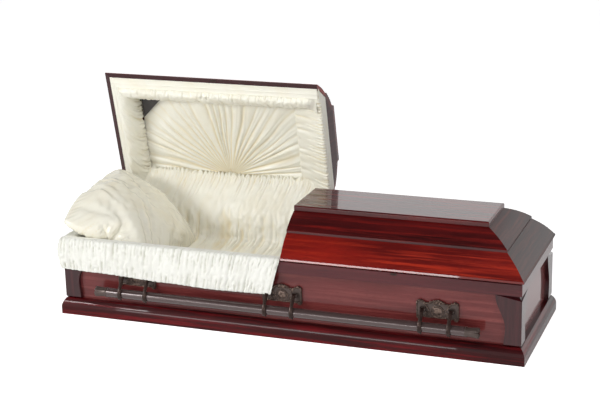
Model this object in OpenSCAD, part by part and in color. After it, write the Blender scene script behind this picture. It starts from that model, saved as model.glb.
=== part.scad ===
// Half-couch hardwood casket. A moulded base carries a panelled box. Two hipped lids hinge
// on the back rail: the head lid stands open and the foot lid is shut. A swing-bar handle
// hangs on each long side, and the head half is lined with padded cloth.
// X runs along the length, with the foot end at +X. -Y is the front and +Z is up.
// The origin is the middle of the underside.

/* [Overall] */
// Length over the base moulding
base_l = 2110; // [1900:5:2300]
// Width over the base moulding
base_w = 680; // [620:5:760]
// Height of the box from the floor to the top of its rails
box_h = 344; // [310:1:420]
// How far the head lid stands open, in degrees
lid_open = 77; // [0:1:80]

/* [Base moulding] */
// Height of the upright face
fascia_h = 38; // [25:1:50]
// Height of the flat that carries the box
base_h = 73; // [60:1:90]
// How far in the sloping face runs
slope_in = 20; // [12:1:26]
// How far the sloping face bulges from a straight line
slope_bulge = 2.5; // [0:0.5:4]
// Radius where the sloping face meets the flat
base_r = 5; // [3:0.5:7]
// Width of the moulding, outside to inside
base_t = 64; // [56:1:80]
// Thickness of the bottom board
bottom_t = 12; // [6:1:25]

/* [Box] */
// Inset of the rails and posts from the base moulding
body_in = 18; // [16:1:24]
// Inset of the panels behind the rails
recess = 18; // [10:1:20]
// Thickness of the panels
panel_t = 12; // [8:1:16]
// Height of the top rail
rail_h = 51; // [40:1:70]
// Width of a corner post at its top
post_top_w = 110; // [90:1:140]
// Width of a corner post at its waist
post_waist_w = 68; // [50:1:85]
// Width of a corner post at its foot
post_foot_w = 74; // [55:1:85]
// Height of the scoop at the top of a post
cove_h = 20; // [12:1:30]
// Depth of the scoop at the top of a post
cove_in = 13; // [6:0.5:15]
// Chamfer at the foot of a post
post_chamfer = 8; // [3:0.5:12]

/* [Lids] */
// Shadow gap between the rails and the lid rims
lid_gap = 6; // [6:0.5:9]
// How far the lid rim stands out past the rails
rim_out = 8; // [6:0.5:12]
// Height of the rim's leaning lip
lip_h = 10; // [7:0.5:13]
// Rise of the lower slope above the lip
low_rise = 87; // [70:1:110]
// Distance from the rim to the step
step_in = 89; // [75:1:105]
// Height of the step between the slopes
step_h = 10; // [5:0.5:16]
// Rise of the upper slope
high_rise = 59; // [40:1:75]
// Distance from the rim to the crown plate
crown_in = 188; // [160:1:215]
// Thickness of the crown plate
crown_t = 22; // [16:1:30]
// Radius of the crown plate's edge
crown_r = 7; // [3:0.5:10]
// Bearing of the slopes under the crown plate
crown_lap = 12; // [8:1:20]
// How far the slopes bulge from a straight line
lid_bulge = 5; // [0:0.5:8]
// Gap between the two lids
split_gap = 3; // [2:0.5:6]
// Thickness of the header boards at the split
header_t = 16; // [12:1:22]

/* [Hinges and catches] */
// Radius of a hinge barrel
barrel_r = 5; // [4:0.5:6]
// Radius of a hinge pin
pin_r = 2.5; // [1.5:0.25:3]
// Radial clearance of a running pin
pin_fit = 0.05; // [0.02:0.01:0.1]
// Width of a hinge leaf along the rail
leaf_w = 70; // [50:1:100]
// Thickness of a hinge leaf
leaf_t = 2.2; // [1.5:0.1:2.5]
// Distance of the hinges from the split
hinge_near = 190; // [120:5:260]
// Distance of the hinges from the ends
hinge_far = 200; // [150:5:300]
// Distance of the front catches from the split
catch_x = 500; // [350:5:650]
// Width of a catch plate
catch_w = 26; // [18:1:40]

/* [Handles] */
// Distance between handle plates
plate_pitch = 684; // [600:1:720]
// Width of a handle plate
plate_w = 180; // [170:1:200]
// Height of a handle plate without its crest
plate_h = 62; // [50:1:72]
// Height of the lower edge of a handle plate
plate_z = 161; // [150:1:180]
// Thickness of a handle plate
plate_t = 8; // [5:0.5:9]
// Radius of the crest in the middle of a plate
crest_r = 30; // [24:1:36]
// Distance between the two arms of a plate
arm_pitch = 122; // [100:1:130]
// Width of an arm
arm_w = 16; // [12:0.5:18]
// Thickness of an arm
arm_t = 11; // [8:0.5:12]
// Width of the ring that holds the bar
ring_w = 17; // [14:1:26]
// Radius of the bar
bar_r = 21; // [16:0.5:22]
// Wall of the ring round the bar
ring_wall = 3; // [2:0.5:6]
// Length of the bar between its end caps
bar_l = 1624; // [1550:2:1650]
// Length of an end cap
tip_l = 60; // [45:1:70]
// Largest radius of an end cap
tip_r = 24; // [22:0.5:28]
// How far the pivot stands out from the plate
pivot_out = 10; // [9:0.5:13]
// Height of the pivot
pivot_z = 196; // [190:1:204]
// How far the bar hangs below the pivot
bar_drop = 66; // [50:1:70]
// How far the bar stands out from the pivot
bar_out = 28; // [24:1:34]

/* [Lining] */
// Thickness of the padded wall lining
lining_t = 23; // [15:1:30]
// Height of the mattress top
bed_z = 190; // [150:5:220]
// Gap between soft pieces and their neighbours
soft_gap = 0.5; // [0.3:0.1:1]
// How far the overlay skirt hangs below the rail top
skirt_drop = 136; // [100:1:140]
// Thickness of the overlay skirt on the outside
skirt_t = 8.5; // [5:0.5:10]
// Width of the lid panel's surround at the end
surround_x = 125; // [110:1:140]
// Width of the lid panel's surround at the front
surround_y = 155; // [140:1:165]
// Height of the lid panel above the lid rim
lid_panel_rise = 80; // [70:1:84]
// Thickness of the lid panel
lid_panel_t = 14; // [10:1:16]
// Length of the short sides of the corner tag
tag_l = 104; // [60:1:120]

/* [Hidden] */
$fn = 48;

WOOD = "#5a1410";
WOOD_PANEL = "#7a4038";
BRONZE = "#463830";
CLOTH = "#ece6d0";

body_l = base_l - 2 * body_in;
body_w = base_w - 2 * body_in;
rail_z = box_h - rail_h;
rail_t = recess + panel_t;
inner_l = body_l - 2 * rail_t;
inner_w = body_w - 2 * rail_t;
panel_y = body_w / 2 - recess;
panel_x = body_l / 2 - recess;

lid_l = body_l + 2 * rim_out;
lid_w = body_w + 2 * rim_out;
rim_z = box_h + lid_gap;
nose_z = rim_z + lip_h;
step_z = nose_z + low_rise;
crown_z = step_z + step_h + high_rise;
rim_t = 32;
board_fall = 18;
knee_in = step_in + 11;
knee_z = step_z - 7;
slope_in_end = crown_in + crown_lap;

hinge_y = lid_w / 2 + 1 + barrel_r;
hinge_z = box_h + lid_gap / 2;
leaf_out = lid_w / 2;
leaf_in = leaf_out - 30;
knuckle = leaf_w / 3;
knuckle_gap = 0.3;

pivot_y = panel_y + plate_t + pivot_out;
bar_y = pivot_y + bar_out;
bar_z = pivot_z - bar_drop;
arm_angle = atan(bar_out / bar_drop);
arm_l = sqrt(bar_out * bar_out + bar_drop * bar_drop);
eye_r = 8;
ear_t = 4;
handle_pin_r = 3;

skirt_l = body_l + 2 * (skirt_t + soft_gap);
skirt_w = body_w + 2 * (skirt_t + soft_gap);
skirt_top = box_h + lid_gap / 2;
flap_h = 16;
lining_top = box_h - 1;

panel_z = rim_z + lid_panel_rise;
lid_panel_x0 = -lid_l / 2 + surround_x;
lid_panel_x1 = -75;
lid_panel_y0 = -lid_w / 2 + surround_y;
lid_panel_y1 = lid_w / 2 - surround_x;

STEPS = 8;

// Points along a line from a to b that bulges sideways by h
function bow(a, b, h) = let (
    d = b - a,
    n = [-d[1], d[0]] / norm(d)
) [for (i = [0:STEPS]) a + d * i / STEPS + n * h * sin(180 * i / STEPS)];

// Points on an arc about c, from angle a0 to angle a1
function arc(c, r, a0, a1) =
    [for (i = [0:STEPS]) let (a = a0 + (a1 - a0) * i / STEPS) c + r * [cos(a), sin(a)]];

// Taller than any part
SPAN = 1000;

// Sections are drawn with their inset from the outside along x and their height along y.
// A run sweeps one along a side of an l by w ring and mitres it over depth t.
module front_run(l, w, t, x0, x1, mitre0 = true, mitre1 = true)
    intersection() {
        translate([0, -w / 2, 0])
            rotate([90, 0, 90])
                linear_extrude(height = l, center = true)
                    children();
        linear_extrude(height = SPAN)
            polygon([
                [x0, -w / 2 - 1],
                [x1, -w / 2 - 1],
                [mitre1 ? x1 - t - 1 : x1, -w / 2 + t],
                [mitre0 ? x0 + t + 1 : x0, -w / 2 + t]
            ]);
    }

// The same for the foot end, between two heights on Y
module foot_run(l, w, t, y0, y1, mitre0 = true, mitre1 = true)
    intersection() {
        translate([l / 2, 0, 0])
            mirror([1, 0, 0])
                rotate([90, 0, 0])
                    linear_extrude(height = w, center = true)
                        children();
        linear_extrude(height = SPAN)
            polygon([
                [l / 2 + 1, y0],
                [l / 2 + 1, y1],
                [l / 2 - t, mitre1 ? y1 - t - 1 : y1],
                [l / 2 - t, mitre0 ? y0 + t + 1 : y0]
            ]);
    }

// Base ------------------------------------------------------------------

// The rounded top edge begins where the bulging slope comes in at this angle
base_lean = atan2(base_h - fascia_h, slope_in) + 79;
base_arc_x = slope_in + 1;

module base_section()
    polygon(concat(
        [[0, 0]],
        bow(
            [0, fascia_h],
            [base_arc_x, base_h - base_r] + base_r * [cos(base_lean), sin(base_lean)],
            slope_bulge
        ),
        arc([base_arc_x, base_h - base_r], base_r, base_lean - 5, 90),
        [[base_t, base_h], [base_t, 0]]
    ));

module base_long()
    color(WOOD)
        front_run(base_l, base_w, base_t, -base_l / 2 - 1, base_l / 2 + 1)
            base_section();

module base_short()
    color(WOOD)
        foot_run(base_l, base_w, base_t, -base_w / 2 - 1, base_w / 2 + 1)
            base_section();

module base_front() base_long();
module base_back() mirror([0, 1, 0]) base_long();
module base_foot_end() base_short();
module base_head_end() mirror([1, 0, 0]) base_short();

module bottom_board()
    color(WOOD_PANEL)
        translate([-base_l / 2 + base_t, -base_w / 2 + base_t, 0])
            cube([base_l - 2 * base_t, base_w - 2 * base_t, bottom_t]);

// Box -------------------------------------------------------------------

module panel_long()
    color(WOOD_PANEL)
        translate([-panel_x, -panel_y, base_h])
            cube([2 * panel_x, panel_t, rail_z - base_h]);

module panel_short()
    color(WOOD_PANEL)
        translate([panel_x - panel_t, -panel_y + panel_t, base_h])
            cube([panel_t, 2 * (panel_y - panel_t), rail_z - base_h]);

module panel_front() panel_long();
module panel_back() mirror([0, 1, 0]) panel_long();
module panel_foot_end() panel_short();
module panel_head_end() mirror([1, 0, 0]) panel_short();

rail_edge = 2;

module rail_section()
    polygon([
        [0, rail_z], [0, box_h - rail_edge], [rail_edge, box_h], [rail_t, box_h], [rail_t, rail_z]
    ]);

module rail_long()
    color(WOOD)
        front_run(body_l, body_w, rail_t, -body_l / 2 - 1, body_l / 2 + 1)
            rail_section();

module rail_short()
    color(WOOD)
        foot_run(body_l, body_w, rail_t, -body_w / 2 - 1, body_w / 2 + 1)
            rail_section();

module rail_front() rail_long();
module rail_back() mirror([0, 1, 0]) rail_long();
module rail_foot_end() rail_short();
module rail_head_end() mirror([1, 0, 0]) rail_short();

// Width of a post at t down its height, from 0 at the top to 1 at the foot
waist_at = 0.65;
function post_width(t) = t < waist_at
    ? post_waist_w + (post_top_w - post_waist_w) * (1 + cos(180 * t / waist_at)) / 2
    : post_waist_w + (post_foot_w - post_waist_w) * (1 - cos(180 * (t - waist_at) / (1 - waist_at))) / 2;

POST_STEPS = 18;

// One leg of a post, lying on the front face with its corner at x = 0
module post_leg()
    rotate([90, 0, 0])
        translate([0, 0, -recess])
            linear_extrude(height = recess)
                polygon(concat(
                    [[0, rail_z], [0, base_h]],
                    [for (i = [POST_STEPS:-1:0])
                        [-post_width(i / POST_STEPS), rail_z - (rail_z - base_h) * i / POST_STEPS]]
                ));

// The scoop under the rail runs out towards the inner edge of the leg
cove_out = (cove_h * cove_h - cove_in * cove_in) / (2 * cove_in);
cove_run = atan(cove_h / post_top_w);

module post_leg_cuts() {
    translate([0, -cove_out, rail_z])
        rotate([0, -90 + cove_run, 0])
            cylinder(r = cove_out + cove_in, h = 4 * post_top_w, center = true);
    translate([-post_top_w, 0, base_h])
        rotate([45, 0, 0])
            translate([0, -post_chamfer / sqrt(2), -post_chamfer / sqrt(2)])
                cube([2 * post_top_w, sqrt(2) * post_chamfer, sqrt(2) * post_chamfer]);
}

// Moves a leg's frame to the end face: the front face's x becomes the end face's y
module to_end_face()
    multmatrix([[0, -1, 0, 0], [-1, 0, 0, 0], [0, 0, 1, 0], [0, 0, 0, 1]])
        children();

module post()
    color(WOOD)
        translate([body_l / 2, -body_w / 2, 0])
            difference() {
                union() {
                    post_leg();
                    to_end_face() post_leg();
                }
                post_leg_cuts();
                to_end_face() post_leg_cuts();
            }

module post_front_foot() post();
module post_front_head() mirror([1, 0, 0]) post();
module post_back_foot() mirror([0, 1, 0]) post();
module post_back_head() mirror([0, 1, 0]) mirror([1, 0, 0]) post();

// Lids ------------------------------------------------------------------

// The lip leans in a little, and both its edges are rounded
lip_lean = 14;
lip_r = 1.5;
lip_end = 125;
nose_in = 4;

module lid_section()
    polygon(concat(
        arc([lip_r, rim_z + lip_r], lip_r, 270, 180 - lip_lean),
        arc(
            [lip_r + (lip_h - 2 * lip_r) * tan(lip_lean), nose_z - lip_r],
            lip_r, 180 - lip_lean, lip_end
        ),
        bow([nose_in, nose_z], [step_in, step_z], lid_bulge),
        bow([step_in, step_z + step_h], [crown_in, crown_z], lid_bulge),
        [
            [slope_in_end, crown_z],
            [slope_in_end, crown_z - board_fall],
            [knee_in, knee_z],
            [rim_t, rim_z + board_fall],
            [rim_t, rim_z]
        ]
    ));

// The foot half, shut. The head half is its mirror image.
module half_lid_front()
    color(WOOD)
        front_run(2 * lid_l, lid_w, slope_in_end, split_gap / 2, lid_l / 2 + 1, mitre0 = false)
            lid_section();

module half_lid_end()
    color(WOOD)
        foot_run(lid_l, lid_w, slope_in_end, -lid_w / 2 - 1, lid_w / 2 + 1)
            lid_section();

crown_x = lid_l / 2 - crown_in;
crown_y = lid_w / 2 - crown_in;

module half_lid_crown()
    color(WOOD)
        intersection() {
            rotate([90, 0, 90])
                translate([0, 0, split_gap / 2])
                    linear_extrude(height = crown_x - split_gap / 2)
                        crown_section(2 * crown_y);
            rotate([90, 0, 0])
                linear_extrude(height = 2 * crown_y, center = true)
                    crown_section(2 * crown_x);
        }

// A plate of width w with its top edges rounded and its lower edges eased
module crown_section(w) {
    crown_ease = 1.5;
    half = w / 2;
    polygon([
        [-half + crown_ease, crown_z], [half - crown_ease, crown_z],
        [half, crown_z + crown_ease], [half, crown_z + crown_t - crown_r],
        [half - crown_r, crown_z + crown_t], [-half + crown_r, crown_z + crown_t],
        [-half, crown_z + crown_t - crown_r], [-half, crown_z + crown_ease]
    ]);
    for (side = [-1, 1])
        translate([side * (half - crown_r), crown_z + crown_t - crown_r])
            circle(r = crown_r);
}

// Height of the inside of the slopes at distance u from the rim
function inside_z(u) = u < knee_in
    ? rim_z + board_fall + (knee_z - rim_z - board_fall) * (u - rim_t) / (knee_in - rim_t)
    : knee_z + (crown_z - board_fall - knee_z) * (u - knee_in) / (slope_in_end - knee_in);

// One side of a header board, from its lower edge at distance u up to the crown
function header_side(u) = [
    [-lid_w / 2 + u, inside_z(u)],
    [-lid_w / 2 + knee_in, knee_z],
    [-lid_w / 2 + slope_in_end, crown_z - board_fall],
    [-lid_w / 2 + slope_in_end, crown_z]
];

// The board that closes a half lid at the split, down to distance u from the rim
module half_lid_header(u)
    color(WOOD)
        translate([split_gap / 2, 0, 0])
            rotate([90, 0, 90])
                linear_extrude(height = header_t)
                    polygon(concat(
                        header_side(u),
                        [for (i = [3:-1:0]) [-header_side(u)[i][0], header_side(u)[i][1]]]
                    ));

module opened()
    translate([0, hinge_y, hinge_z])
        rotate([-lid_open, 0, 0])
            translate([0, -hinge_y, -hinge_z])
                children();

header_in = 96;
foot_header_in = rim_t + 2;

module head_half() opened() mirror([1, 0, 0]) children();

module head_lid_crown() head_half() half_lid_crown();
module head_lid_front() head_half() half_lid_front();
module head_lid_back() head_half() mirror([0, 1, 0]) half_lid_front();
module head_lid_end() head_half() half_lid_end();
module head_lid_header() head_half() half_lid_header(header_in);
module foot_lid_crown() half_lid_crown();
module foot_lid_front() half_lid_front();
module foot_lid_back() mirror([0, 1, 0]) half_lid_front();
module foot_lid_end() half_lid_end();
module foot_lid_header() half_lid_header(foot_header_in);

// Hinges and catches ----------------------------------------------------

HINGE_X = [hinge_near, lid_l / 2 - hinge_far];

module rail_leaf() {
    translate([-leaf_w / 2, leaf_in, box_h])
        cube([leaf_w, leaf_out - leaf_in, leaf_t]);
    for (side = [-1, 1])
        translate([side * knuckle, 0, 0]) {
            translate([-(knuckle - knuckle_gap) / 2, leaf_out - 1, box_h])
                cube([knuckle - knuckle_gap, hinge_y - leaf_out + 1, leaf_t]);
            translate([0, hinge_y, hinge_z])
                rotate([0, 90, 0])
                    cylinder(r = barrel_r, h = knuckle - knuckle_gap, center = true);
        }
    translate([0, hinge_y, hinge_z])
        rotate([0, 90, 0])
            cylinder(r = pin_r, h = leaf_w - 2, center = true);
}

module lid_leaf()
    difference() {
        union() {
            translate([-leaf_w / 2, leaf_in, rim_z - leaf_t])
                cube([leaf_w, leaf_out - leaf_in, leaf_t]);
            translate([-(knuckle - knuckle_gap) / 2, leaf_out - 1, rim_z - leaf_t])
                cube([knuckle - knuckle_gap, hinge_y - leaf_out + 1, leaf_t]);
            translate([0, hinge_y, hinge_z])
                rotate([0, 90, 0])
                    cylinder(r = barrel_r, h = knuckle - knuckle_gap, center = true);
        }
        translate([0, hinge_y, hinge_z])
            rotate([0, 90, 0])
                cylinder(r = pin_r + pin_fit, h = leaf_w, center = true);
    }

module hinge_rail_leaves()
    color(BRONZE)
        for (side = [-1, 1], x = HINGE_X)
            translate([side * x, 0, 0])
                rail_leaf();

module head_lid_hinge_leaves()
    color(BRONZE)
        opened()
            for (x = HINGE_X)
                translate([-x, 0, 0])
                    lid_leaf();

module foot_lid_hinge_leaves()
    color(BRONZE)
        for (x = HINGE_X)
            translate([x, 0, 0])
                lid_leaf();

catch_t = 1.5;
catch_h = 10;

module rail_latch()
    color(BRONZE)
        translate([catch_x - catch_w / 2, -body_w / 2 - catch_t, box_h - rail_edge - catch_h])
            cube([catch_w, catch_t, catch_h]);

module head_lid_catch()
    color(BRONZE)
        opened()
            translate([-catch_x - catch_w / 2, -lid_w / 2 + nose_in, rim_z - catch_t])
                cube([catch_w, catch_h, catch_t]);

// Handles ---------------------------------------------------------------

PLATE_X = [-plate_pitch, 0, plate_pitch];
foot_scroll_r = 9;
side_scroll_r = 15;
side_scroll_drop = 3;

module plate_outline() {
    translate([-plate_w / 2, 0]) square([plate_w, plate_h]);
    intersection() {
        translate([-plate_w / 2, 0]) square([plate_w, plate_h + side_scroll_r]);
        union() {
            translate([0, plate_h + side_scroll_r - crest_r]) circle(r = crest_r);
            for (side = [-1, 1])
                translate([side * (plate_w / 2 - side_scroll_r), plate_h - side_scroll_drop])
                    circle(r = side_scroll_r);
        }
    }
    for (side = [-1, 1])
        translate([side * (plate_w / 2 - foot_scroll_r), 0]) circle(r = foot_scroll_r);
}

module handle_plate(x)
    color(BRONZE)
        translate([x, 0, 0]) {
            translate([0, -panel_y, plate_z])
                rotate([90, 0, 0])
                    linear_extrude(height = plate_t)
                        plate_outline();
            for (side = [-1, 1])
                translate([side * arm_pitch / 2, 0, 0])
                    ears();
        }

module ears() {
    ear_x = arm_w / 2 + knuckle_gap;
    for (side = [-1, 1])
        translate([side * (ear_x + ear_t / 2), 0, 0]) {
            translate([0, -pivot_y, pivot_z])
                rotate([0, 90, 0])
                    cylinder(r = eye_r, h = ear_t, center = true);
            translate([-ear_t / 2, -pivot_y, pivot_z - eye_r])
                cube([ear_t, pivot_out + plate_t / 2, 2 * eye_r]);
        }
    translate([0, -pivot_y, pivot_z])
        rotate([0, 90, 0])
            cylinder(r = handle_pin_r, h = arm_w + 2 * knuckle_gap + ear_t, center = true);
}

module plate_front_head() handle_plate(PLATE_X[0]);
module plate_front_middle() handle_plate(PLATE_X[1]);
module plate_front_foot() handle_plate(PLATE_X[2]);
module plate_back_head() mirror([0, 1, 0]) handle_plate(PLATE_X[0]);
module plate_back_middle() mirror([0, 1, 0]) handle_plate(PLATE_X[1]);
module plate_back_foot() mirror([0, 1, 0]) handle_plate(PLATE_X[2]);

bar_fit = 0.1;

// One arm, from its eye on the pivot down to the ring round the bar
module arm()
    translate([0, -pivot_y, pivot_z])
        rotate([-arm_angle, 0, 0])
            difference() {
                union() {
                    rotate([0, 90, 0]) cylinder(r = eye_r, h = arm_w, center = true);
                    translate([-arm_w / 2, -arm_t / 2, -arm_l])
                        cube([arm_w, arm_t, arm_l]);
                    translate([0, 0, -arm_l])
                        rotate([0, 90, 0])
                            cylinder(r = bar_r + ring_wall, h = ring_w, center = true);
                }
                rotate([0, 90, 0]) cylinder(r = handle_pin_r + pin_fit, h = 2 * arm_w, center = true);
                translate([0, 0, -arm_l])
                    rotate([0, 90, 0])
                        cylinder(r = bar_r + bar_fit, h = 2 * ring_w, center = true);
            }

module arm_pair(x)
    color(BRONZE)
        for (side = [-1, 1])
            translate([x + side * arm_pitch / 2, 0, 0])
                arm();

module arms_front_head() arm_pair(PLATE_X[0]);
module arms_front_middle() arm_pair(PLATE_X[1]);
module arms_front_foot() arm_pair(PLATE_X[2]);
module arms_back_head() mirror([0, 1, 0]) arm_pair(PLATE_X[0]);
module arms_back_middle() mirror([0, 1, 0]) arm_pair(PLATE_X[1]);
module arms_back_foot() mirror([0, 1, 0]) arm_pair(PLATE_X[2]);

module bar()
    color(BRONZE)
        translate([0, -bar_y, bar_z])
            rotate([0, 90, 0])
                cylinder(r = bar_r, h = bar_l, center = true);

module bar_front() bar();
module bar_back() mirror([0, 1, 0]) bar();

collar_w = 6;
collar_r = bar_r + 1.5;

// A flared end cap with a collar where it meets the bar
module tip()
    color(BRONZE)
        translate([bar_l / 2, -bar_y, bar_z])
            rotate([0, 90, 0])
                rotate_extrude()
                    polygon(concat(
                        [[0, 0], [collar_r, 0], [collar_r, collar_w]],
                        [for (i = [0:STEPS])
                            [
                                bar_r + (tip_r - bar_r) * (1 - cos(90 * i / STEPS)),
                                collar_w + (tip_l - collar_w - tip_r / 2) * i / STEPS
                            ]],
                        [for (i = [1:STEPS])
                            [
                                tip_r * cos(90 * i / STEPS),
                                tip_l - tip_r / 2 + tip_r / 2 * sin(90 * i / STEPS)
                            ]]
                    ));

module tip_front_foot() tip();
module tip_front_head() mirror([1, 0, 0]) tip();
module tip_back_foot() mirror([0, 1, 0]) tip();
module tip_back_head() mirror([0, 1, 0]) mirror([1, 0, 0]) tip();

// Lining ----------------------------------------------------------------

lining_x = inner_l / 2 - soft_gap;
lining_y = inner_w / 2;
flap_z = skirt_top - flap_h;

module lining_back()
    color(CLOTH)
        translate([-lining_x, lining_y - lining_t, bed_z])
            cube([2 * lining_x, lining_t, lining_top - bed_z]);

module lining_front()
    color(CLOTH)
        translate([-lining_x, -lining_y, bed_z])
            cube([2 * lining_x, lining_t, flap_z - soft_gap - bed_z]);

module lining_ends()
    color(CLOTH)
        for (side = [0, 1])
            mirror([side, 0, 0])
                translate([inner_l / 2 - lining_t, -lining_y + lining_t + soft_gap, bed_z])
                    cube([
                        lining_t,
                        2 * (lining_y - lining_t - soft_gap),
                        flap_z - soft_gap - bed_z
                    ]);

module mattress()
    color(CLOTH)
        translate([-inner_l / 2 + lining_t, -lining_y + lining_t, bottom_t])
            cube([inner_l - 2 * lining_t, 2 * (lining_y - lining_t), bed_z - soft_gap - bottom_t]);

pillow_r = 70;
PILLOW_FN = 28;
rest_gap = 0.3;
pillow_side = 5;
pillow_w = 2 * (lining_y - lining_t - pillow_side);
pillow_lean = [238, 170];

// A thick cushion that leans on the head end
module pillow() {
    low_x = -inner_l / 2 + lining_t + soft_gap + pillow_r + pillow_lean[0];
    low_z = bed_z - soft_gap + rest_gap + pillow_r * cos(180 / PILLOW_FN);
    color(CLOTH)
        hull()
            for (side = [-1, 1], t = [0, 1])
                translate([
                    low_x - t * pillow_lean[0],
                    side * (pillow_w / 2 - pillow_r),
                    low_z + t * pillow_lean[1]
                ])
                    sphere(r = pillow_r, $fn = PILLOW_FN);
}

// The overlay lies on the rail, hangs down outside it and tucks in behind it
skirt_rest = 0.2;

module skirt_section() {
    rail_top = box_h + skirt_rest;
    rail_back = skirt_t + soft_gap + rail_t + skirt_rest;
    flap_end = rail_back + lining_t - 1;
    polygon([
        [0, box_h - skirt_drop], [skirt_t, box_h - skirt_drop], [skirt_t, rail_top],
        [rail_back, rail_top], [rail_back, flap_z], [flap_end, flap_z],
        [flap_end, skirt_top], [0, skirt_top]
    ]);
}

skirt_depth = skirt_t + soft_gap + rail_t + lining_t;
skirt_end = -2 * split_gap;

module skirt()
    color(CLOTH)
        mirror([1, 0, 0])
            union() {
                front_run(skirt_l, skirt_w, skirt_depth, -skirt_end, skirt_l / 2 + 1, mitre0 = false)
                    skirt_section();
                foot_run(skirt_l, skirt_w, skirt_depth, -skirt_w / 2 - 1, lining_y - lining_t - 1,
                    mitre1 = false)
                    skirt_section();
            }

band_in = 15;
band_t = 1.7;
roll_rise = 22;
roll_drop = 24;

// Padded trim between the lid rim and the panel, drawn for one side of width w
module surround_section(w)
    polygon([
        [band_in, rim_z - band_t],
        [rim_t + 2, rim_z - band_t],
        [w * 0.6, rim_z + roll_rise],
        [w, panel_z - roll_drop],
        [w, panel_z + lid_panel_t],
        [step_in, inside_z(step_in) - soft_gap],
        [rim_t, inside_z(rim_t) - soft_gap],
        [rim_t, rim_z],
        [band_in, rim_z]
    ]);

module surround_side(w)
    front_run(2 * lid_l, lid_w, w, split_gap / 2, lid_l / 2 + 1, mitre0 = false)
        surround_section(w);

module head_lid_surround()
    color(CLOTH)
        head_half()
            difference() {
                union() {
                    intersection() {
                        surround_side(surround_y);
                        mitre_keep(surround_x, surround_y);
                    }
                    foot_run(lid_l, lid_w, surround_x, -lid_w / 2 - 1, lid_w / 2 + 1)
                        surround_section(surround_x);
                    mirror([0, 1, 0]) surround_side(surround_x);
                    split_side();
                }
                for (x = HINGE_X)
                    translate([x - leaf_w / 2 - soft_gap, leaf_in - soft_gap, rim_z - 2 * leaf_t])
                        cube([leaf_w + 2 * soft_gap, hinge_y - leaf_in, 2 * leaf_t]);
                translate([0, -lid_w / 2 + step_in, inside_z(header_in) - soft_gap])
                    cube([split_gap / 2 + header_t, lid_w - 2 * step_in, SPAN]);
            }

// Keeps the front run clear of the narrower end run
module mitre_keep(wx, wy)
    linear_extrude(height = SPAN)
        polygon([
            [0, -lid_w / 2 - 1],
            [lid_l / 2, -lid_w / 2 - 1],
            [lid_l / 2, -lid_w / 2],
            [lid_l / 2 - wx, -lid_w / 2 + wx],
            [lid_l / 2 - wx, -lid_w / 2 + wy],
            [0, -lid_w / 2 + wy]
        ]);

flange_in = 80;
flange_rise = 20;
flange_h = 46;
return_lap = 30;
return_rise = 6;
return_h = 78;

// The trim along the split: a flange under the header and a deeper return beside the panel
module split_side() {
    flange_x = split_gap / 2;
    return_x = flange_x + header_t;
    translate([flange_x, -lid_w / 2 + flange_in, rim_z + flange_rise])
        cube([header_t, lid_w - 2 * flange_in, flange_h]);
    translate([return_x, lid_panel_y0 - return_lap, rim_z + return_rise])
        cube([-lid_panel_x1 - return_x, lid_panel_y1 - lid_panel_y0 + 2 * return_lap, return_h]);
}

module head_lid_panel()
    color(CLOTH)
        opened()
            translate([lid_panel_x0, lid_panel_y0, panel_z])
                cube([lid_panel_x1 - lid_panel_x0, lid_panel_y1 - lid_panel_y0, lid_panel_t]);

tag_t = 1;

module head_lid_tag()
    color("#2c2826")
        opened()
            translate([lid_panel_x0, lid_panel_y0, panel_z - tag_t])
                linear_extrude(height = tag_t)
                    polygon([[0, 0], [tag_l, 0], [0, tag_l]]);

foot_lining_in = 140;

module foot_lid_lining()
    color(CLOTH)
        translate([
            split_gap / 2 + header_t,
            -lid_w / 2 + foot_lining_in,
            inside_z(foot_lining_in) - lid_panel_t
        ])
            cube([
                lid_l / 2 - foot_lining_in - split_gap / 2 - header_t,
                lid_w - 2 * foot_lining_in,
                lid_panel_t
            ]);

base_front();
base_back();
base_head_end();
base_foot_end();
bottom_board();
panel_front();
panel_back();
panel_head_end();
panel_foot_end();
rail_front();
rail_back();
rail_head_end();
rail_foot_end();
post_front_head();
post_front_foot();
post_back_head();
post_back_foot();
head_lid_crown();
head_lid_front();
head_lid_back();
head_lid_end();
head_lid_header();
foot_lid_crown();
foot_lid_front();
foot_lid_back();
foot_lid_end();
foot_lid_header();
hinge_rail_leaves();
head_lid_hinge_leaves();
foot_lid_hinge_leaves();
rail_latch();
head_lid_catch();
plate_front_head();
plate_front_middle();
plate_front_foot();
plate_back_head();
plate_back_middle();
plate_back_foot();
arms_front_head();
arms_front_middle();
arms_front_foot();
arms_back_head();
arms_back_middle();
arms_back_foot();
bar_front();
bar_back();
tip_front_head();
tip_front_foot();
tip_back_head();
tip_back_foot();
lining_back();
lining_front();
lining_ends();
mattress();
pillow();
skirt();
head_lid_surround();
head_lid_panel();
head_lid_tag();
foot_lid_lining();
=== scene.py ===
# %% [markdown]
# # A half-couch casket
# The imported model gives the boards, hinges and handles as a fixed frame. This script adds what
# a maker adds after the joinery: lacquer, cast ornament and the padded, gathered lining.
# Each step says what the piece is on the real object before it is made.

# %% Load the frame
import bpy, bmesh, math
from mathutils import Matrix, Vector, noise


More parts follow.
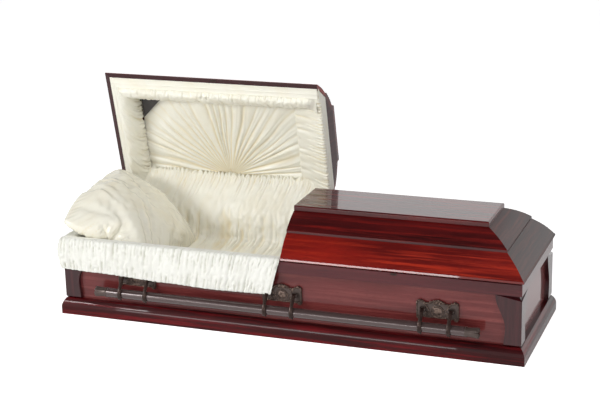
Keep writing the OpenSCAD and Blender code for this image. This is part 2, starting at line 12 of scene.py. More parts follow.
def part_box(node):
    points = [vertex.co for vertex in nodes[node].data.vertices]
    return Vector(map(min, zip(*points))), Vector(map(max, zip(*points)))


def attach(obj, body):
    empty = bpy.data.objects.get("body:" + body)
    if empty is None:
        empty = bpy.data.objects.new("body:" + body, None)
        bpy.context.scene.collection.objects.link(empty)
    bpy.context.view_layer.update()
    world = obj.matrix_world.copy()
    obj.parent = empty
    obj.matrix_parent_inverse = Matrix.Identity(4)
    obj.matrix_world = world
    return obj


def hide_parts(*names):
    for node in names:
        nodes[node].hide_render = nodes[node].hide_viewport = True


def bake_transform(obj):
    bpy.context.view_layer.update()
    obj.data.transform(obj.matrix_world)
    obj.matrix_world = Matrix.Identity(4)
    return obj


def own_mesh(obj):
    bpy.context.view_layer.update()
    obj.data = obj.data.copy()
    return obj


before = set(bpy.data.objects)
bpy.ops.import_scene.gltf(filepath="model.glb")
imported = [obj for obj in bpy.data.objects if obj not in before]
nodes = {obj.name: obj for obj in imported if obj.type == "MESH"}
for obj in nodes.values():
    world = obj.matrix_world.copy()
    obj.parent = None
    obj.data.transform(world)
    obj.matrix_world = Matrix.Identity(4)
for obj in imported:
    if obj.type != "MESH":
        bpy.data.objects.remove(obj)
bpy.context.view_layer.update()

# %% [markdown]
# ## Camera
# A portrait of a long object is taken from far away with a long lens, so that its parallel
# edges stay nearly parallel. The camera here is built from its right, up and back directions,
# because that keeps its small roll in one place.

# %% Camera
def add_object(name, data):
    made = bpy.data.objects.new(name, data)
    bpy.context.scene.collection.objects.link(made)
    return made

CAMERA_PLACE = (2.1753, -5.9097, 2.4273)
azimuth, elevation, roll = math.radians(20.4045), math.radians(16.8325), math.radians(-1.3611)
ahead = Vector((-math.sin(azimuth) * math.cos(elevation), math.cos(azimuth) * math.cos(elevation),
                -math.sin(elevation)))
level = Vector((math.cos(azimuth), math.sin(azimuth), 0))
upright = level.cross(ahead)
right = level * math.cos(roll) + upright * math.sin(roll)
up = upright * math.cos(roll) - level * math.sin(roll)
camera_data = bpy.data.cameras.new("camera")
camera_data.lens, camera_data.sensor_width = 90, 36
camera_data.clip_end = 60
camera = add_object("camera", camera_data)
camera.matrix_world = Matrix.Translation(CAMERA_PLACE) @ Matrix(
    (right, up, -ahead)).transposed().to_4x4()
bpy.context.scene.camera = camera
print("camera looks along", [round(v, 3) for v in ahead])

# %% [markdown]
# ## Studio
# Lacquered wood is mostly a mirror, so the room matters as much as the colour. The room is white
# near the horizon and dark overhead: level faces then go grey and sloping ones stay deep red.
# Two long soft lights in front draw the thin white line on each rounded edge. Two wide fills lift
# the cloth, and the lacquer does not mirror them.

# %% Room
def link(tree, source, target):
    tree.links.new(source, target)

def feed(tree, node, **values):
    """Set a node's inputs by name, or link them where the value is another node's output."""
    for label, value in values.items():
        socket = node.inputs[label.replace("_", " ")]
        if hasattr(value, "node"):
            link(tree, value, socket)
        else:
            socket.default_value = value

MIRRORED_ROOM, DIFFUSE_ROOM = 1.25, 0.46
HORIZON = (0.31, (1, 1, 1, 1))
WALLS = (0.42, (0.36, 0.35, 0.36, 1))
CEILING = (0.80, (0.06, 0.055, 0.06, 1))
room = bpy.data.worlds.new("room")
room.use_nodes = True
tree = room.node_tree
tree.nodes.clear()
sky = tree.nodes.new("ShaderNodeTexCoord")
split = tree.nodes.new("ShaderNodeSeparateXYZ")
shade = tree.nodes.new("ShaderNodeValToRGB")
lit = tree.nodes.new("ShaderNodeBackground")
seen = tree.nodes.new("ShaderNodeBackground")
path = tree.nodes.new("ShaderNodeLightPath")
choose = tree.nodes.new("ShaderNodeMixShader")
out = tree.nodes.new("ShaderNodeOutputWorld")
link(tree, sky.outputs["Generated"], split.inputs[0])
link(tree, split.outputs["Z"], shade.inputs[0])
ramp = shade.color_ramp
ramp.elements[0].position, ramp.elements[0].color = HORIZON
ramp.elements[1].position, ramp.elements[1].color = CEILING
ramp.elements.new(WALLS[0]).color = WALLS[1]
link(tree, shade.outputs[0], lit.inputs[0])
strength = tree.nodes.new("ShaderNodeMapRange")
strength.inputs["To Min"].default_value = MIRRORED_ROOM
strength.inputs["To Max"].default_value = DIFFUSE_ROOM
link(tree, path.outputs["Is Diffuse Ray"], strength.inputs[0])
link(tree, strength.outputs[0], lit.inputs[1])
feed(tree, seen, Color=(1, 1, 1, 1), Strength=MIRRORED_ROOM)
link(tree, path.outputs["Is Camera Ray"], choose.inputs[0])
link(tree, lit.outputs[0], choose.inputs[1])
link(tree, seen.outputs[0], choose.inputs[2])
link(tree, choose.outputs[0], out.inputs[0])
bpy.context.scene.world = room
bpy.context.scene.view_settings.view_transform = "Standard"
print("room ready")

# %% Floor
mesh = bpy.data.meshes.new("floor")
bm = bmesh.new()
bmesh.ops.create_grid(bm, x_segments=1, y_segments=1, size=14)
bm.to_mesh(mesh)
bm.free()
floor = add_object("floor", mesh)
pale = bpy.data.materials.new("pale_floor")
pale.use_nodes = True
surface = pale.node_tree.nodes["Principled BSDF"]
glow = pale.node_tree.nodes.new("ShaderNodeMapRange")
ray = pale.node_tree.nodes.new("ShaderNodeLightPath")
glow.inputs["To Min"].default_value, glow.inputs["To Max"].default_value = 0.35, 0.85
link(pale.node_tree, ray.outputs["Is Camera Ray"], glow.inputs[0])
feed(pale.node_tree, surface, Base_Color=(0.86, 0.86, 0.86, 1), Roughness=0.9,
     Specular_IOR_Level=0.1, Emission_Color=(1, 1, 1, 1), Emission_Strength=glow.outputs[0])
floor.data.materials.append(pale)
print("floor", floor.dimensions[:])

# %% Lights
def soft_light(name, place, look_at, width, height, power):
    data = bpy.data.lights.new(name, "AREA")
    data.shape, data.size, data.size_y = "RECTANGLE", width, height
    data.energy = power
    lamp = add_object(name, data)
    aim = (Vector(look_at) - Vector(place)).to_track_quat("-Z", "Y")
    lamp.matrix_world = Matrix.Translation(place) @ aim.to_matrix().to_4x4()
    lamp.visible_camera = False
    print(name, power, "W")
    return lamp

soft_light("low_front_light", (-1.9, -5.5, 1.0), (-1.9, 0, 0.6), 2.9, 0.3, 28)
soft_light("high_front_light", (-3.4, -3.6, 2.3), (-0.3, 0, 0.35), 2.0, 0.6, 92)
overhead = soft_light("overhead_fill", (0.6, -1.4, 3.6), (-0.4, 0, 0.3), 2.4, 2.4, 62)
side = soft_light("side_fill", (3.2, -1.8, 1.6), (-0.3, 0, 0.5), 1.6, 1.6, 12)
overhead.visible_glossy = side.visible_glossy = False

# %% [markdown]
# ## Mahogany under gloss lacquer
# The boards are stained red and sprayed with clear lacquer. The grain is a soft figure, long
# streaks and short dark pores, all far longer along the board than across it. One node group
# makes the grain, and a Mapping node in each material turns it along its own board.

# %% Node group: grain
def new_group(name, inputs, outputs):
    group = bpy.data.node_groups.new(name, "ShaderNodeTree")
    for label, kind, value in inputs:
        socket = group.interface.new_socket(label, in_out="INPUT", socket_type=kind)
        if value is not None:
            socket.default_value = value
    for label, kind in outputs:
        group.interface.new_socket(label, in_out="OUTPUT", socket_type=kind)
    return group, group.nodes.new("NodeGroupInput"), group.nodes.new("NodeGroupOutput")

def noise_node(tree, vector, scale, detail=3.0, rough=0.55):
    node = tree.nodes.new("ShaderNodeTexNoise")
    feed(tree, node, Scale=scale, Detail=detail, Roughness=rough, Vector=vector)
    return node.outputs["Fac"]

def stretch(tree, vector, scale, turn=(0, 0, 0), shift=(0, 0, 0)):
    node = tree.nodes.new("ShaderNodeMapping")
    feed(tree, node, Location=shift, Rotation=turn, Scale=scale, Vector=vector)
    return node.outputs["Vector"]

def bumps(tree, height, strength, distance):
    node = tree.nodes.new("ShaderNodeBump")
    feed(tree, node, Height=height, Strength=strength, Distance=distance)
    return node.outputs["Normal"]

def blend_colours(tree, factor, first, second):
    """Mix two colours. A Mix node names several sockets alike, so they are taken by number."""
    node = tree.nodes.new("ShaderNodeMix")
    node.data_type = "RGBA"
    for socket, value in ((node.inputs["Factor"], factor), (node.inputs[6], first),
                          (node.inputs[7], second)):
        if hasattr(value, "node"):
            link(tree, value, socket)
        else:
            socket.default_value = value
    return node.outputs[2]

def remap(tree, value, low, high, to_low=0.0, to_high=1.0):
    node = tree.nodes.new("ShaderNodeMapRange")
    link(tree, value, node.inputs[0])
    for slot_number, number in enumerate((low, high, to_low, to_high), start=1):
        node.inputs[slot_number].default_value = number
    return node.outputs[0]

COLOUR, NUMBER, DIRECTION = "NodeSocketColor", "NodeSocketFloat", "NodeSocketVector"
BLACK = (0, 0, 0, 1)
grain, start, end = new_group(
    "grain",
    [("Along Board", DIRECTION, None), ("Dark", COLOUR, BLACK), ("Middle", COLOUR, BLACK),
     ("Light", COLOUR, BLACK), ("Pore Depth", NUMBER, 0.5)],
    [("Color", COLOUR), ("Height", NUMBER)])
along = start.outputs["Along Board"]
figure = noise_node(grain, stretch(grain, along, (0.9, 5.0, 5.0)), 1.6, 4.0, 0.6)
streak = noise_node(grain, stretch(grain, along, (1.2, 30.0, 30.0)), 2.0, 3.0, 0.6)
pores = noise_node(grain, stretch(grain, along, (22.0, 230.0, 230.0)), 1.5, 2.0, 0.5)
tone = blend_colours(grain, remap(grain, figure, 0.36, 0.62), start.outputs["Dark"],
                     start.outputs["Middle"])
tone = blend_colours(grain, remap(grain, streak, 0.48, 0.70), tone, start.outputs["Light"])
dots = grain.nodes.new("ShaderNodeMath")
dots.operation = "MULTIPLY"
link(grain, remap(grain, pores, 0.56, 0.68), dots.inputs[0])
link(grain, start.outputs["Pore Depth"], dots.inputs[1])
tone = blend_colours(grain, dots.outputs[0], tone, start.outputs["Dark"])
link(grain, tone, end.inputs["Color"])
link(grain, streak, end.inputs["Height"])
print("group", grain.name)

# %% [markdown]
# A lacquer coat is a second, smooth surface over a duller one. The Principled shader has a coat
# for this: the wood keeps a rough base while the coat mirrors the room. Above the step, the long
# boards of each lid are mixed by height to a darker stain: this is painted shade, because the upper
# slope faces away from the front lights. The open lid's coordinates are turned back to its shut
# place first, so that both lids share one rule.

# %% Materials: lacquered boards
def group_node(tree, group, **values):
    node = tree.nodes.new("ShaderNodeGroup")
    node.node_tree = group
    feed(tree, node, **values)
    return node

def new_material(name):
    material = bpy.data.materials.new(name)
    material.use_nodes = True
    tree = material.node_tree
    return material, tree, tree.nodes["Principled BSDF"], tree.nodes.new(
        "ShaderNodeTexCoord").outputs["Object"]

END = ((0.020, 0.004, 0.003, 1), (0.050, 0.008, 0.006, 1), (0.085, 0.016, 0.010, 1))
# DARK is the crown's stain, and it is also painted shade where it darkens the lids' upper slopes.
DARK = ((0.026, 0.001, 0.0012, 1), (0.085, 0.003, 0.003, 1), (0.15, 0.006, 0.004, 1))
BASE = ((0.016, 0.0004, 0.001, 1), (0.055, 0.001, 0.002, 1), (0.15, 0.002, 0.005, 1))
RAIL = ((0.048, 0.005, 0.007, 1), (0.080, 0.009, 0.012, 1), (0.110, 0.015, 0.018, 1))
SLOPE = ((0.090, 0.002, 0.001, 1), (0.23, 0.008, 0.003, 1), (0.35, 0.020, 0.006, 1))
POST = ((0.020, 0.002, 0.003, 1), (0.036, 0.004, 0.006, 1), (0.055, 0.007, 0.009, 1))
VENEER = ((0.100, 0.015, 0.015, 1), (0.165, 0.030, 0.029, 1), (0.230, 0.052, 0.047, 1))
LID_EDGE = (0.035, 0.006, 0.007, 1)
TURNS = {"x": (0, 0, 0), "y": (0, 0, math.radians(90)), "z": (0, math.radians(90), 0)}
LID_ANGLE = math.radians(77)
SHUT_SHIFT = (0, 0.598498, -0.058431)
LID_EDGE_Z = (0.3502, 0.3508)
UPPER_SLOPE_Z = (0.4462, 0.4472)

def lacquered(name, stain, grain_axis, upper=None, open_lid=False, gloss=0.03, shift=(0, 0, 0),
              coat=1.0):
    material, tree, shader, place = new_material(name)
    if open_lid:
        place = stretch(tree, place, (1, 1, 1), (LID_ANGLE, 0, 0), SHUT_SHIFT)
    board = stretch(tree, place, (1, 1, 1), TURNS[grain_axis], shift)
    wood = group_node(tree, grain, Along_Board=board, Dark=stain[0], Middle=stain[1],
                      Light=stain[2])
    colour = wood.outputs["Color"]
    if open_lid or upper:
        parts = tree.nodes.new("ShaderNodeSeparateXYZ")
        link(tree, place, parts.inputs[0])
        rim = remap(tree, parts.outputs["Z"], *LID_EDGE_Z)
        colour = blend_colours(tree, rim, LID_EDGE, colour)
    # Painted shade: above UPPER_SLOPE_Z the upper slope takes the darker stain.
    if upper:
        second = group_node(tree, grain, Along_Board=board, Dark=upper[0], Middle=upper[1],
                            Light=upper[2])
        mask = remap(tree, parts.outputs["Z"], *UPPER_SLOPE_Z)
        colour = blend_colours(tree, mask, colour, second.outputs["Color"])
    feed(tree, shader, Base_Color=colour, Roughness=0.42, Specular_IOR_Level=0.08,
         Coat_Weight=coat, Coat_Roughness=gloss, Coat_IOR=1.5,
         Normal=bumps(tree, wood.outputs["Height"], strength=0.05, distance=0.0006))
    return material

def paint(name, material):
    target = nodes[name]
    target.data.materials.clear()
    target.data.materials.append(material)

wood = {
    "base_x": lacquered("mahogany_base_long", BASE, "x", shift=(0, 3, 0), coat=0.3),
    "base_y": lacquered("mahogany_base_short", BASE, "y", coat=0.6),
    "rail_x": lacquered("mahogany_rail_long", RAIL, "x", shift=(2, 0, 0), coat=0.8),
    "rail_y": lacquered("mahogany_rail_short", RAIL, "y"),
    "post": lacquered("mahogany_post", POST, "z"),
    # The long lid boards take DARK above the step as painted shade.
    "foot_x": lacquered("mahogany_foot_lid_long", SLOPE, "x", DARK),
    "foot_y": lacquered("mahogany_foot_lid_short", END, "y", END, coat=0.38),
    "head_x": lacquered("mahogany_head_lid_long", SLOPE, "x", DARK, open_lid=True, coat=0.6),
    "head_y": lacquered("mahogany_head_lid_short", END, "y", END, open_lid=True),
    "crown": lacquered("mahogany_crown", DARK, "x"),
    "header": lacquered("mahogany_header", POST, "y", coat=0.4),
    "veneer_x": lacquered("mahogany_veneer_long", VENEER, "x", gloss=0.06, coat=0.7),
    "veneer_y": lacquered("mahogany_veneer_short", VENEER, "y", gloss=0.06),
}
for name in nodes:
    for half in ("head", "foot"):
        if name in (f"{half}_lid_front", f"{half}_lid_back"):
            paint(name, wood[f"{half}_x"])
        elif name == f"{half}_lid_end":
            paint(name, wood[f"{half}_y"])
        elif name == f"{half}_lid_crown":
            paint(name, wood["crown"])
        elif name == f"{half}_lid_header":
            paint(name, wood["header"])
    if name.startswith("base_"):
        paint(name, wood["base_y" if name.endswith("end") else "base_x"])
    elif name.startswith("rail_") and name != "rail_latch":
        paint(name, wood["rail_y" if name.endswith("end") else "rail_x"])
    elif name.startswith("post_"):
        paint(name, wood["post"])
    elif name.startswith("panel_"):
        paint(name, wood["veneer_y" if name.endswith("end") else "veneer_x"])
paint("bottom_board", wood["veneer_x"])
print("lacquered boards:", len(wood), "materials")

# %% [markdown]
# ## Antique bronze
# The handles, hinges and catches are cast metal with a dark brown plating that is rubbed back
# on its high places. A noise mask mixes the dark and the rubbed tone, and also the roughness.

# %% Material: bronze
bronze, tree, shader, place = new_material("antique_bronze")
cloudy = noise_node(tree, place, 60.0, 4.0, 0.6)
tone = blend_colours(tree, remap(tree, cloudy, 0.4, 0.65), (0.026, 0.013, 0.010, 1),
                     (0.060, 0.034, 0.027, 1))
dents = bumps(tree, noise_node(tree, place, 350.0, 2.0), strength=0.08, distance=0.0005)
feed(tree, shader, Base_Color=tone, Metallic=0.55, Normal=dents,
     Roughness=remap(tree, cloudy, 0.3, 0.7, 0.34, 0.24))
for name in nodes:
    if name.startswith(("hinge_", "plate_", "arms_", "bar_", "tip_")) or name.endswith(
            ("hinge_leaves", "latch", "catch")):
        paint(name, bronze)
print("bronze ready")

# %% [markdown]
# The bar was plated and then brushed along its length, so it is smoother than the castings. The
# raised ornament was rubbed brighter than the plate behind it.

# %% Materials: plated bar, rubbed ornament and plate
plated, tree, shader, place = new_material("plated_bar")
brushed = noise_node(tree, stretch(tree, place, (1, 60, 60)), 8.0, 3.0)
tone = blend_colours(tree, brushed, (0.060, 0.038, 0.036, 1), (0.095, 0.062, 0.060, 1))
feed(tree, shader, Base_Color=tone, Metallic=0.35, Roughness=0.22, Coat_Weight=0.6,
     Coat_Roughness=0.05)

rubbed, tree, shader, place = new_material("rubbed_bronze")
worn = noise_node(tree, place, 130.0, 3.0)
tone = blend_colours(tree, remap(tree, worn, 0.4, 0.62), (0.080, 0.054, 0.044, 1),
                     (0.22, 0.155, 0.125, 1))
feed(tree, shader, Base_Color=tone, Metallic=0.8, Roughness=0.28)

field, tree, shader, place = new_material("plate_field")
tone = blend_colours(tree, noise_node(tree, place, 90.0, 3.0), (0.060, 0.042, 0.036, 1),
                     (0.115, 0.084, 0.074, 1))
feed(tree, shader, Base_Color=tone, Metallic=0.5, Roughness=0.30)
for name in nodes:
    if name.startswith("plate_"):
        paint(name, field)
for side in ("front", "back"):
    paint(f"bar_{side}", plated)
print("plated bar, rubbed ornament and plate ready")

# %% [markdown]
# ## Cloth
# The lining is cream satin and the overlay is crepe. Each cloth mesh stores how deep in a fold
# a point lies, and the cloth group paints that depth with a second colour: painted shade in the
# creases, warm on the satin where light bounces between two folds. A fine twill is a bump only.

# %% Node group: cloth
cloth_group, start, end = new_group(
    "cloth",
    [("Place", DIRECTION, None), ("Fold", NUMBER, 0.0), ("Crest", COLOUR, (1, 1, 1, 1)),
     ("Crease", COLOUR, (1, 1, 1, 1)), ("Threads", NUMBER, 1.0)],
    [("Color", COLOUR), ("Height", NUMBER), ("Sheen Spots", NUMBER)])
patches = noise_node(cloth_group, start.outputs["Place"], 9.0, 3.0)
# Painted shade: the Crease colour is mixed in by fold depth, and also by noise at random places.
tint = blend_colours(cloth_group, remap(cloth_group, start.outputs["Fold"], 0.25, 1.0),
                     start.outputs["Crest"], start.outputs["Crease"])
tint = blend_colours(cloth_group, remap(cloth_group, patches, 0.45, 0.8, 0.0, 0.35), tint,
                     start.outputs["Crease"])
threads = cloth_group.nodes.new("ShaderNodeTexWave")
threads.wave_type, threads.bands_direction = "BANDS", "DIAGONAL"
feed(cloth_group, threads, Vector=start.outputs["Place"], Scale=420.0, Distortion=1.5)
slubs = noise_node(cloth_group, stretch(cloth_group, start.outputs["Place"], (1, 6, 1)), 160.0,
                   2.0)
height = cloth_group.nodes.new("ShaderNodeMath")
height.operation = "MULTIPLY_ADD"
link(cloth_group, threads.outputs["Fac"], height.inputs[0])
link(cloth_group, start.outputs["Threads"], height.inputs[1])
link(cloth_group, slubs, height.inputs[2])
link(cloth_group, tint, end.inputs["Color"])
link(cloth_group, height.outputs[0], end.inputs["Height"])
link(cloth_group, remap(cloth_group, slubs, 0.3, 0.7), end.inputs["Sheen Spots"])
print("group", cloth_group.name)

# %% Materials: satin and crepe
def fabric(name, crest, crease, rough, threads_depth, sheen):
    material, tree, shader, place = new_material(name)
    uv = tree.nodes.new("ShaderNodeUVMap")
    uv.uv_map = "cut"
    fold = tree.nodes.new("ShaderNodeAttribute")
    fold.attribute_name = "fold"
    cloth = group_node(tree, cloth_group, Place=uv.outputs["UV"], Fold=fold.outputs["Fac"],
                       Crest=crest, Crease=crease, Threads=threads_depth)
    spots = remap(tree, cloth.outputs["Sheen Spots"], 0, 1, rough + 0.05, rough - 0.05)
    weave = bumps(tree, cloth.outputs["Height"], strength=0.18, distance=0.0004)
    feed(tree, shader, Base_Color=cloth.outputs["Color"], Roughness=spots, Normal=weave,
         Specular_IOR_Level=0.55, Sheen_Weight=sheen, Sheen_Roughness=0.4)
    return material

# The second colour of each cloth is its painted crease shade.
satin = fabric("cream_satin", (0.87, 0.85, 0.745, 1), (0.80, 0.70, 0.47, 1), 0.34, 0.6, 0.15)
shiny_satin = fabric("shiny_satin", (0.87, 0.845, 0.73, 1), (0.80, 0.69, 0.46, 1), 0.22, 0.3, 0.1)
crepe = fabric("cream_crepe", (0.87, 0.87, 0.81, 1), (0.66, 0.66, 0.58, 1), 0.62, 1.0, 0.25)
print("fabrics ready")

# %% [markdown]
# Gathered cloth has round crests and sharp creases, because the gathering thread pulls the
# creases tight. The absolute value of a sine has that shape. The distance along the edge is
# warped by noise first, so no two folds are the same width, and each fold wanders as it runs.

# %% Folds
def wander(a, b=0.0, c=0.0):
    return noise.noise(Vector((a, b, c)))

def fold_height(along, across, pitch, seed, drift=0.35, run=8.0):
    """0 in a crease, 1 on a crest, at a distance along the edge and across it, in metres."""
    warped = along / pitch + 0.7 * wander(along / pitch * 0.45, seed)
    warped += drift * wander(along / pitch * 0.3, across * run, seed + 5.0)
    strength = 0.65 + 0.5 * wander(along / pitch * 0.6, across * run * 0.8, seed + 9.0)
    return max(0.0, min(1.0, strength + 0.25)) * abs(math.sin(math.pi * warped))

def chance(number, seed):
    return (math.sin(number * 12.9898 + seed * 78.233) * 43758.5453) % 1.0

def tucks(along, reach, pitch, seed, longest=0.9, lean=0.8):
    """Depth of the gathers that start at an edge, where reach is 0, and die out across it."""
    cell, depth = math.floor(along / pitch), 0.0
    for i in (cell - 1, cell, cell + 1):
        length = longest * (0.25 + 0.75 * chance(i, seed + 2))
        if reach < length:
            middle = (i + 0.2 + 0.6 * chance(i, seed)) * pitch
            middle += pitch * lean * (chance(i, seed + 1) - 0.5) * reach
            width = pitch * (0.18 + 0.20 * chance(i, seed + 3)) * (0.7 + 0.8 * reach)
            off = (along - middle) / width
            fade = 1 - smooth(0.3 * length, length, reach)
            depth += (0.4 + 0.6 * chance(i, seed + 4)) * fade * math.exp(-off * off)
    return min(1.0, depth)

def smooth(low, high, value):
    t = max(0.0, min(1.0, (value - low) / (high - low)))
    return t * t * (3 - 2 * t)

def along_curve(points, t):
    """A point at t from 0 to 1 on a smooth curve through the points (Catmull-Rom)."""
    spans = len(points) - 1
    i = min(int(t * spans), spans - 1)
    f = t * spans - i
    p = [points[max(0, min(spans, i + k))] for k in (-1, 0, 1, 2)]
    return tuple(
        0.5 * (2 * b + (c - a) * f + (2 * a - 5 * b + 4 * c - d) * f * f
               + (3 * b - a - 3 * c + d) * f ** 3)
        for a, b, c, d in zip(*p))

# %% [markdown]
# Each sheet starts as a flat grid. Its flat place becomes the pattern for the weave, and then
# every point moves to where a function says it hangs. A Solidify modifier gives it a thickness.

# %% Cloth from a grid
CLOTH_WALL = 0.001

def flat_pattern(bm, size=(1, 1), shift=0.0):
    """Keep each corner's place on the flat cloth as the map named cut."""
    uv = bm.loops.layers.uv.new("cut")
    for face in bm.faces:
        for loop in face.loops:
            loop[uv].uv = ((loop.vert.co.x + shift) * size[0], (loop.vert.co.y + shift) * size[1])

def finished(name, bm, material):
    mesh = bpy.data.meshes.new(name)
    bm.to_mesh(mesh)
    bm.free()
    mesh.shade_smooth()
    mesh.materials.append(material)
    return add_object(name, mesh)

def cloth_grid(name, columns, rows, size, place, material, flip=False):
    """A sheet of columns by rows faces. place(u, v) gives a point and its fold depth."""
    bm = bmesh.new()
    bmesh.ops.create_grid(bm, x_segments=columns, y_segments=rows, size=0.5)
    flat_pattern(bm, size, 0.5)
    fold = bm.verts.layers.float.new("fold")
    for vert in bm.verts:
        where, depth = place(vert.co.x + 0.5, vert.co.y + 0.5)
        vert.co, vert[fold] = where, depth
    if flip:
        bmesh.ops.reverse_faces(bm, faces=bm.faces)
    sheet = finished(name, bm, material)
    wall = sheet.modifiers.new("thickness", "SOLIDIFY")
    wall.thickness, wall.offset = CLOTH_WALL, -1
    print(name, len(sheet.data.polygons), "faces")
    return sheet

def area_of(obj):
    return sum(face.area for face in obj.data.polygons)

# %% [markdown]
# ## Overlay skirt
# The skirt is one long strip of crepe, gathered along its top, that covers the rail of the open
# half. It is tucked in behind the rail, puffs over it and hangs outside to a stitched hem. It
# could be draped by simulation, but its folds are held by thread, not by gravity, so a grid is
# bent round the casket and the folds are raised on it.

# %% Skirt
rail_low, rail_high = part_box("rail_front")
skirt_face_y, skirt_end_x, rail_top = rail_low[1], rail_low[0], rail_high[2]
SKIRT_PROFILE = [(-0.050, -0.013), (-0.047, 0.003), (-0.036, 0.0095), (-0.020, 0.0105),
                 (-0.004, 0.0115), (0.007, 0.006), (0.0115, -0.008), (0.0125, -0.030),
                 (0.0125, -0.060), (0.0125, -0.090), (0.0120, -0.118), (0.0115, -0.142)]
HEM = [(-1.06, 0.215), (-0.857, 0.210), (-0.534, 0.197), (-0.298, 0.190), (-0.044, 0.194)]
SKIRT_FALL, TURN_IN, SKIRT_BACK_Y = 0.142, 0.004, 0.290
FRONT_SHARE, CORNER_SHARE = 0.60, 0.06
END_SHARE = 1 - FRONT_SHARE - CORNER_SHARE
front_length, corner_length, end_length = 1.034, 0.04, 0.615

def hem_height(x):
    for (x0, z0), (x1, z1) in zip(HEM, HEM[1:]):
        if x <= x1:
            return z0 + (z1 - z0) * smooth(0, 1, (x - x0) / (x1 - x0))
    return HEM[-1][1]

def skirt_point(u, v):
    out, rise = along_curve(SKIRT_PROFILE, v)
    drop = max(0.0, -rise) / SKIRT_FALL if v > 0.4 else 0.0
    if u < FRONT_SHARE:
        along = u / FRONT_SHARE * front_length
    elif u < FRONT_SHARE + CORNER_SHARE:
        along = front_length + (u - FRONT_SHARE) / CORNER_SHARE * corner_length
    else:
        past = (u - FRONT_SHARE - CORNER_SHARE) / END_SHARE
        along = front_length + corner_length + past * end_length
    from_top = tucks(along, drop, 0.017, 2.0, longest=0.95)
    from_hem = tucks(along, 1 - drop, 0.021, 31.0, longest=0.8) * smooth(0.0, 0.3, drop)
    ripple = fold_height(along, v, 0.031, 3.0)
    lift = 1 - max(from_top, from_hem) + 0.5 * wander(along * 70, drop * 11, 8.0)
    corner = math.exp(-((along - front_length - 0.02) / 0.10) ** 2)
    lively = 0.85 + 0.5 * wander(along * 5.0, v * 2.0, 50.0) + 0.7 * corner
    size = (0.0078 * smooth(0.0, 0.35, v) * (1 - 0.7 * smooth(0.93, 0.98, v))) * lively
    out += size * (lift - 0.62) + 0.0040 * (ripple - 0.5) * smooth(0.1, 0.4, v)
    rise += 0.35 * size * (lift - 0.4) * (1 - drop)
    out += 0.010 * corner * smooth(0.45, 0.7, v) * (1 - smooth(0.75, 1.0, v))
    if 0.955 < v:
        out += 0.0012
    inset = max(0.0, -out)
    if u < FRONT_SHARE:
        edge = -0.003 - 0.041 * drop + 0.002 * wander(v * 9.0, 3.0)
        x = edge + (u / FRONT_SHARE) * (skirt_end_x + inset + TURN_IN * (inset > 0) - edge)
        y = skirt_face_y - out
    elif u < FRONT_SHARE + CORNER_SHARE:
        turn = (u - FRONT_SHARE) / CORNER_SHARE * math.pi / 2
        normal = (-math.sin(turn), -math.cos(turn))
        if out >= 0:
            x, y = skirt_end_x + out * normal[0], skirt_face_y + out * normal[1]
        else:
            x = skirt_end_x + inset + TURN_IN * (1 + normal[0])
            y = skirt_face_y + inset + TURN_IN * (1 + normal[1])
    else:
        first = skirt_face_y + inset + TURN_IN * (inset > 0)
        x = skirt_end_x - out
        y = first + past * (SKIRT_BACK_Y - first)
    hem = hem_height(x)
    z = rail_top + (rise if drop == 0 else -drop * (rail_top - hem))
    return Vector((x, y, z)), max(0.0, 1 - lift) * smooth(0.15, 0.4, v)

skirt = cloth_grid("overlay_skirt", 760, 56, (2.6, 0.24), skirt_point, crepe)
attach(skirt, "box")
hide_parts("skirt")
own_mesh(skirt)

# %% [markdown]
# ## Lining of the open lid
# The lid's lining has three parts: a flat corded band on the rim, a ruched roll inside it, and a
# recessed panel pleated like a sunburst. All of it is drawn as if the lid were shut, where the
# rim is level, and then turned about the hinge to where the lid stands.

# %% Shut and open
hinge = Vector((0, 0.336, 0.347))
OPEN = (Matrix.Translation(hinge) @ Matrix.Rotation(-LID_ANGLE, 4, "X")
        @ Matrix.Translation(-hinge))
LID_X, LID_Y, RIM_Z = 1.045, 0.330, 0.350
SPLIT_X = -0.0175
PANEL = (-0.931, -0.150, -0.184, 0.205)

def lid_corner(u, end_inset, front_inset, split_x=SPLIT_X):
    """A point on an L that runs from the split along the front, then down the head end."""
    x0, y0, y1 = -LID_X + end_inset, -LID_Y + front_inset, LID_Y - 0.022
    share, first = 0.66, split_x - (-LID_X + end_inset)
    if u < share:
        t = u / share
        return split_x + (x0 - split_x) * t, y0, t * first, (0, -1)
    t = (u - share) / (1 - share)
    return x0, y0 + (y1 - y0) * t, first + t * (y1 - y0), (-1, 0)

# %% Corded band
BAND = [(0.014, 0.0002), (0.0155, -0.0022), (0.0175, -0.0006), (0.030, -0.0006),
        (0.032, -0.0020), (0.034, -0.0006), (0.044, -0.0006), (0.046, -0.0020),
        (0.048, -0.0004), (0.052, 0.004)]
BAND_START = 0.022

def band_point(u, v):
    inset, rise = along_curve(BAND, v)
    end = BAND_START + (inset - BAND[0][0]) * 0.80
    front = BAND_START + (inset - BAND[0][0]) * 1.40
    x, y, along, _ = lid_corner(u, end, front, -0.003)
    return OPEN @ Vector((x, y, RIM_Z + rise + 0.0003 * wander(along * 60, v * 4))), 0.1

band = cloth_grid("lid_corded_band", 300, 27, (1.6, 0.05), band_point, satin, flip=True)
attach(band, "head_lid")

# %% [markdown]
# The roll is a tube of satin over a soft cord, gathered on both edges. Its puckers are short
# and lie across it: they start at each edge and die out over its crest.

# %% Ruched roll
ROLL = [(0.00, 0.006), (0.03, -0.004), (0.20, -0.011), (0.42, -0.005), (0.64, 0.010),
        (0.84, 0.033), (0.96, 0.058), (1.00, 0.082)]

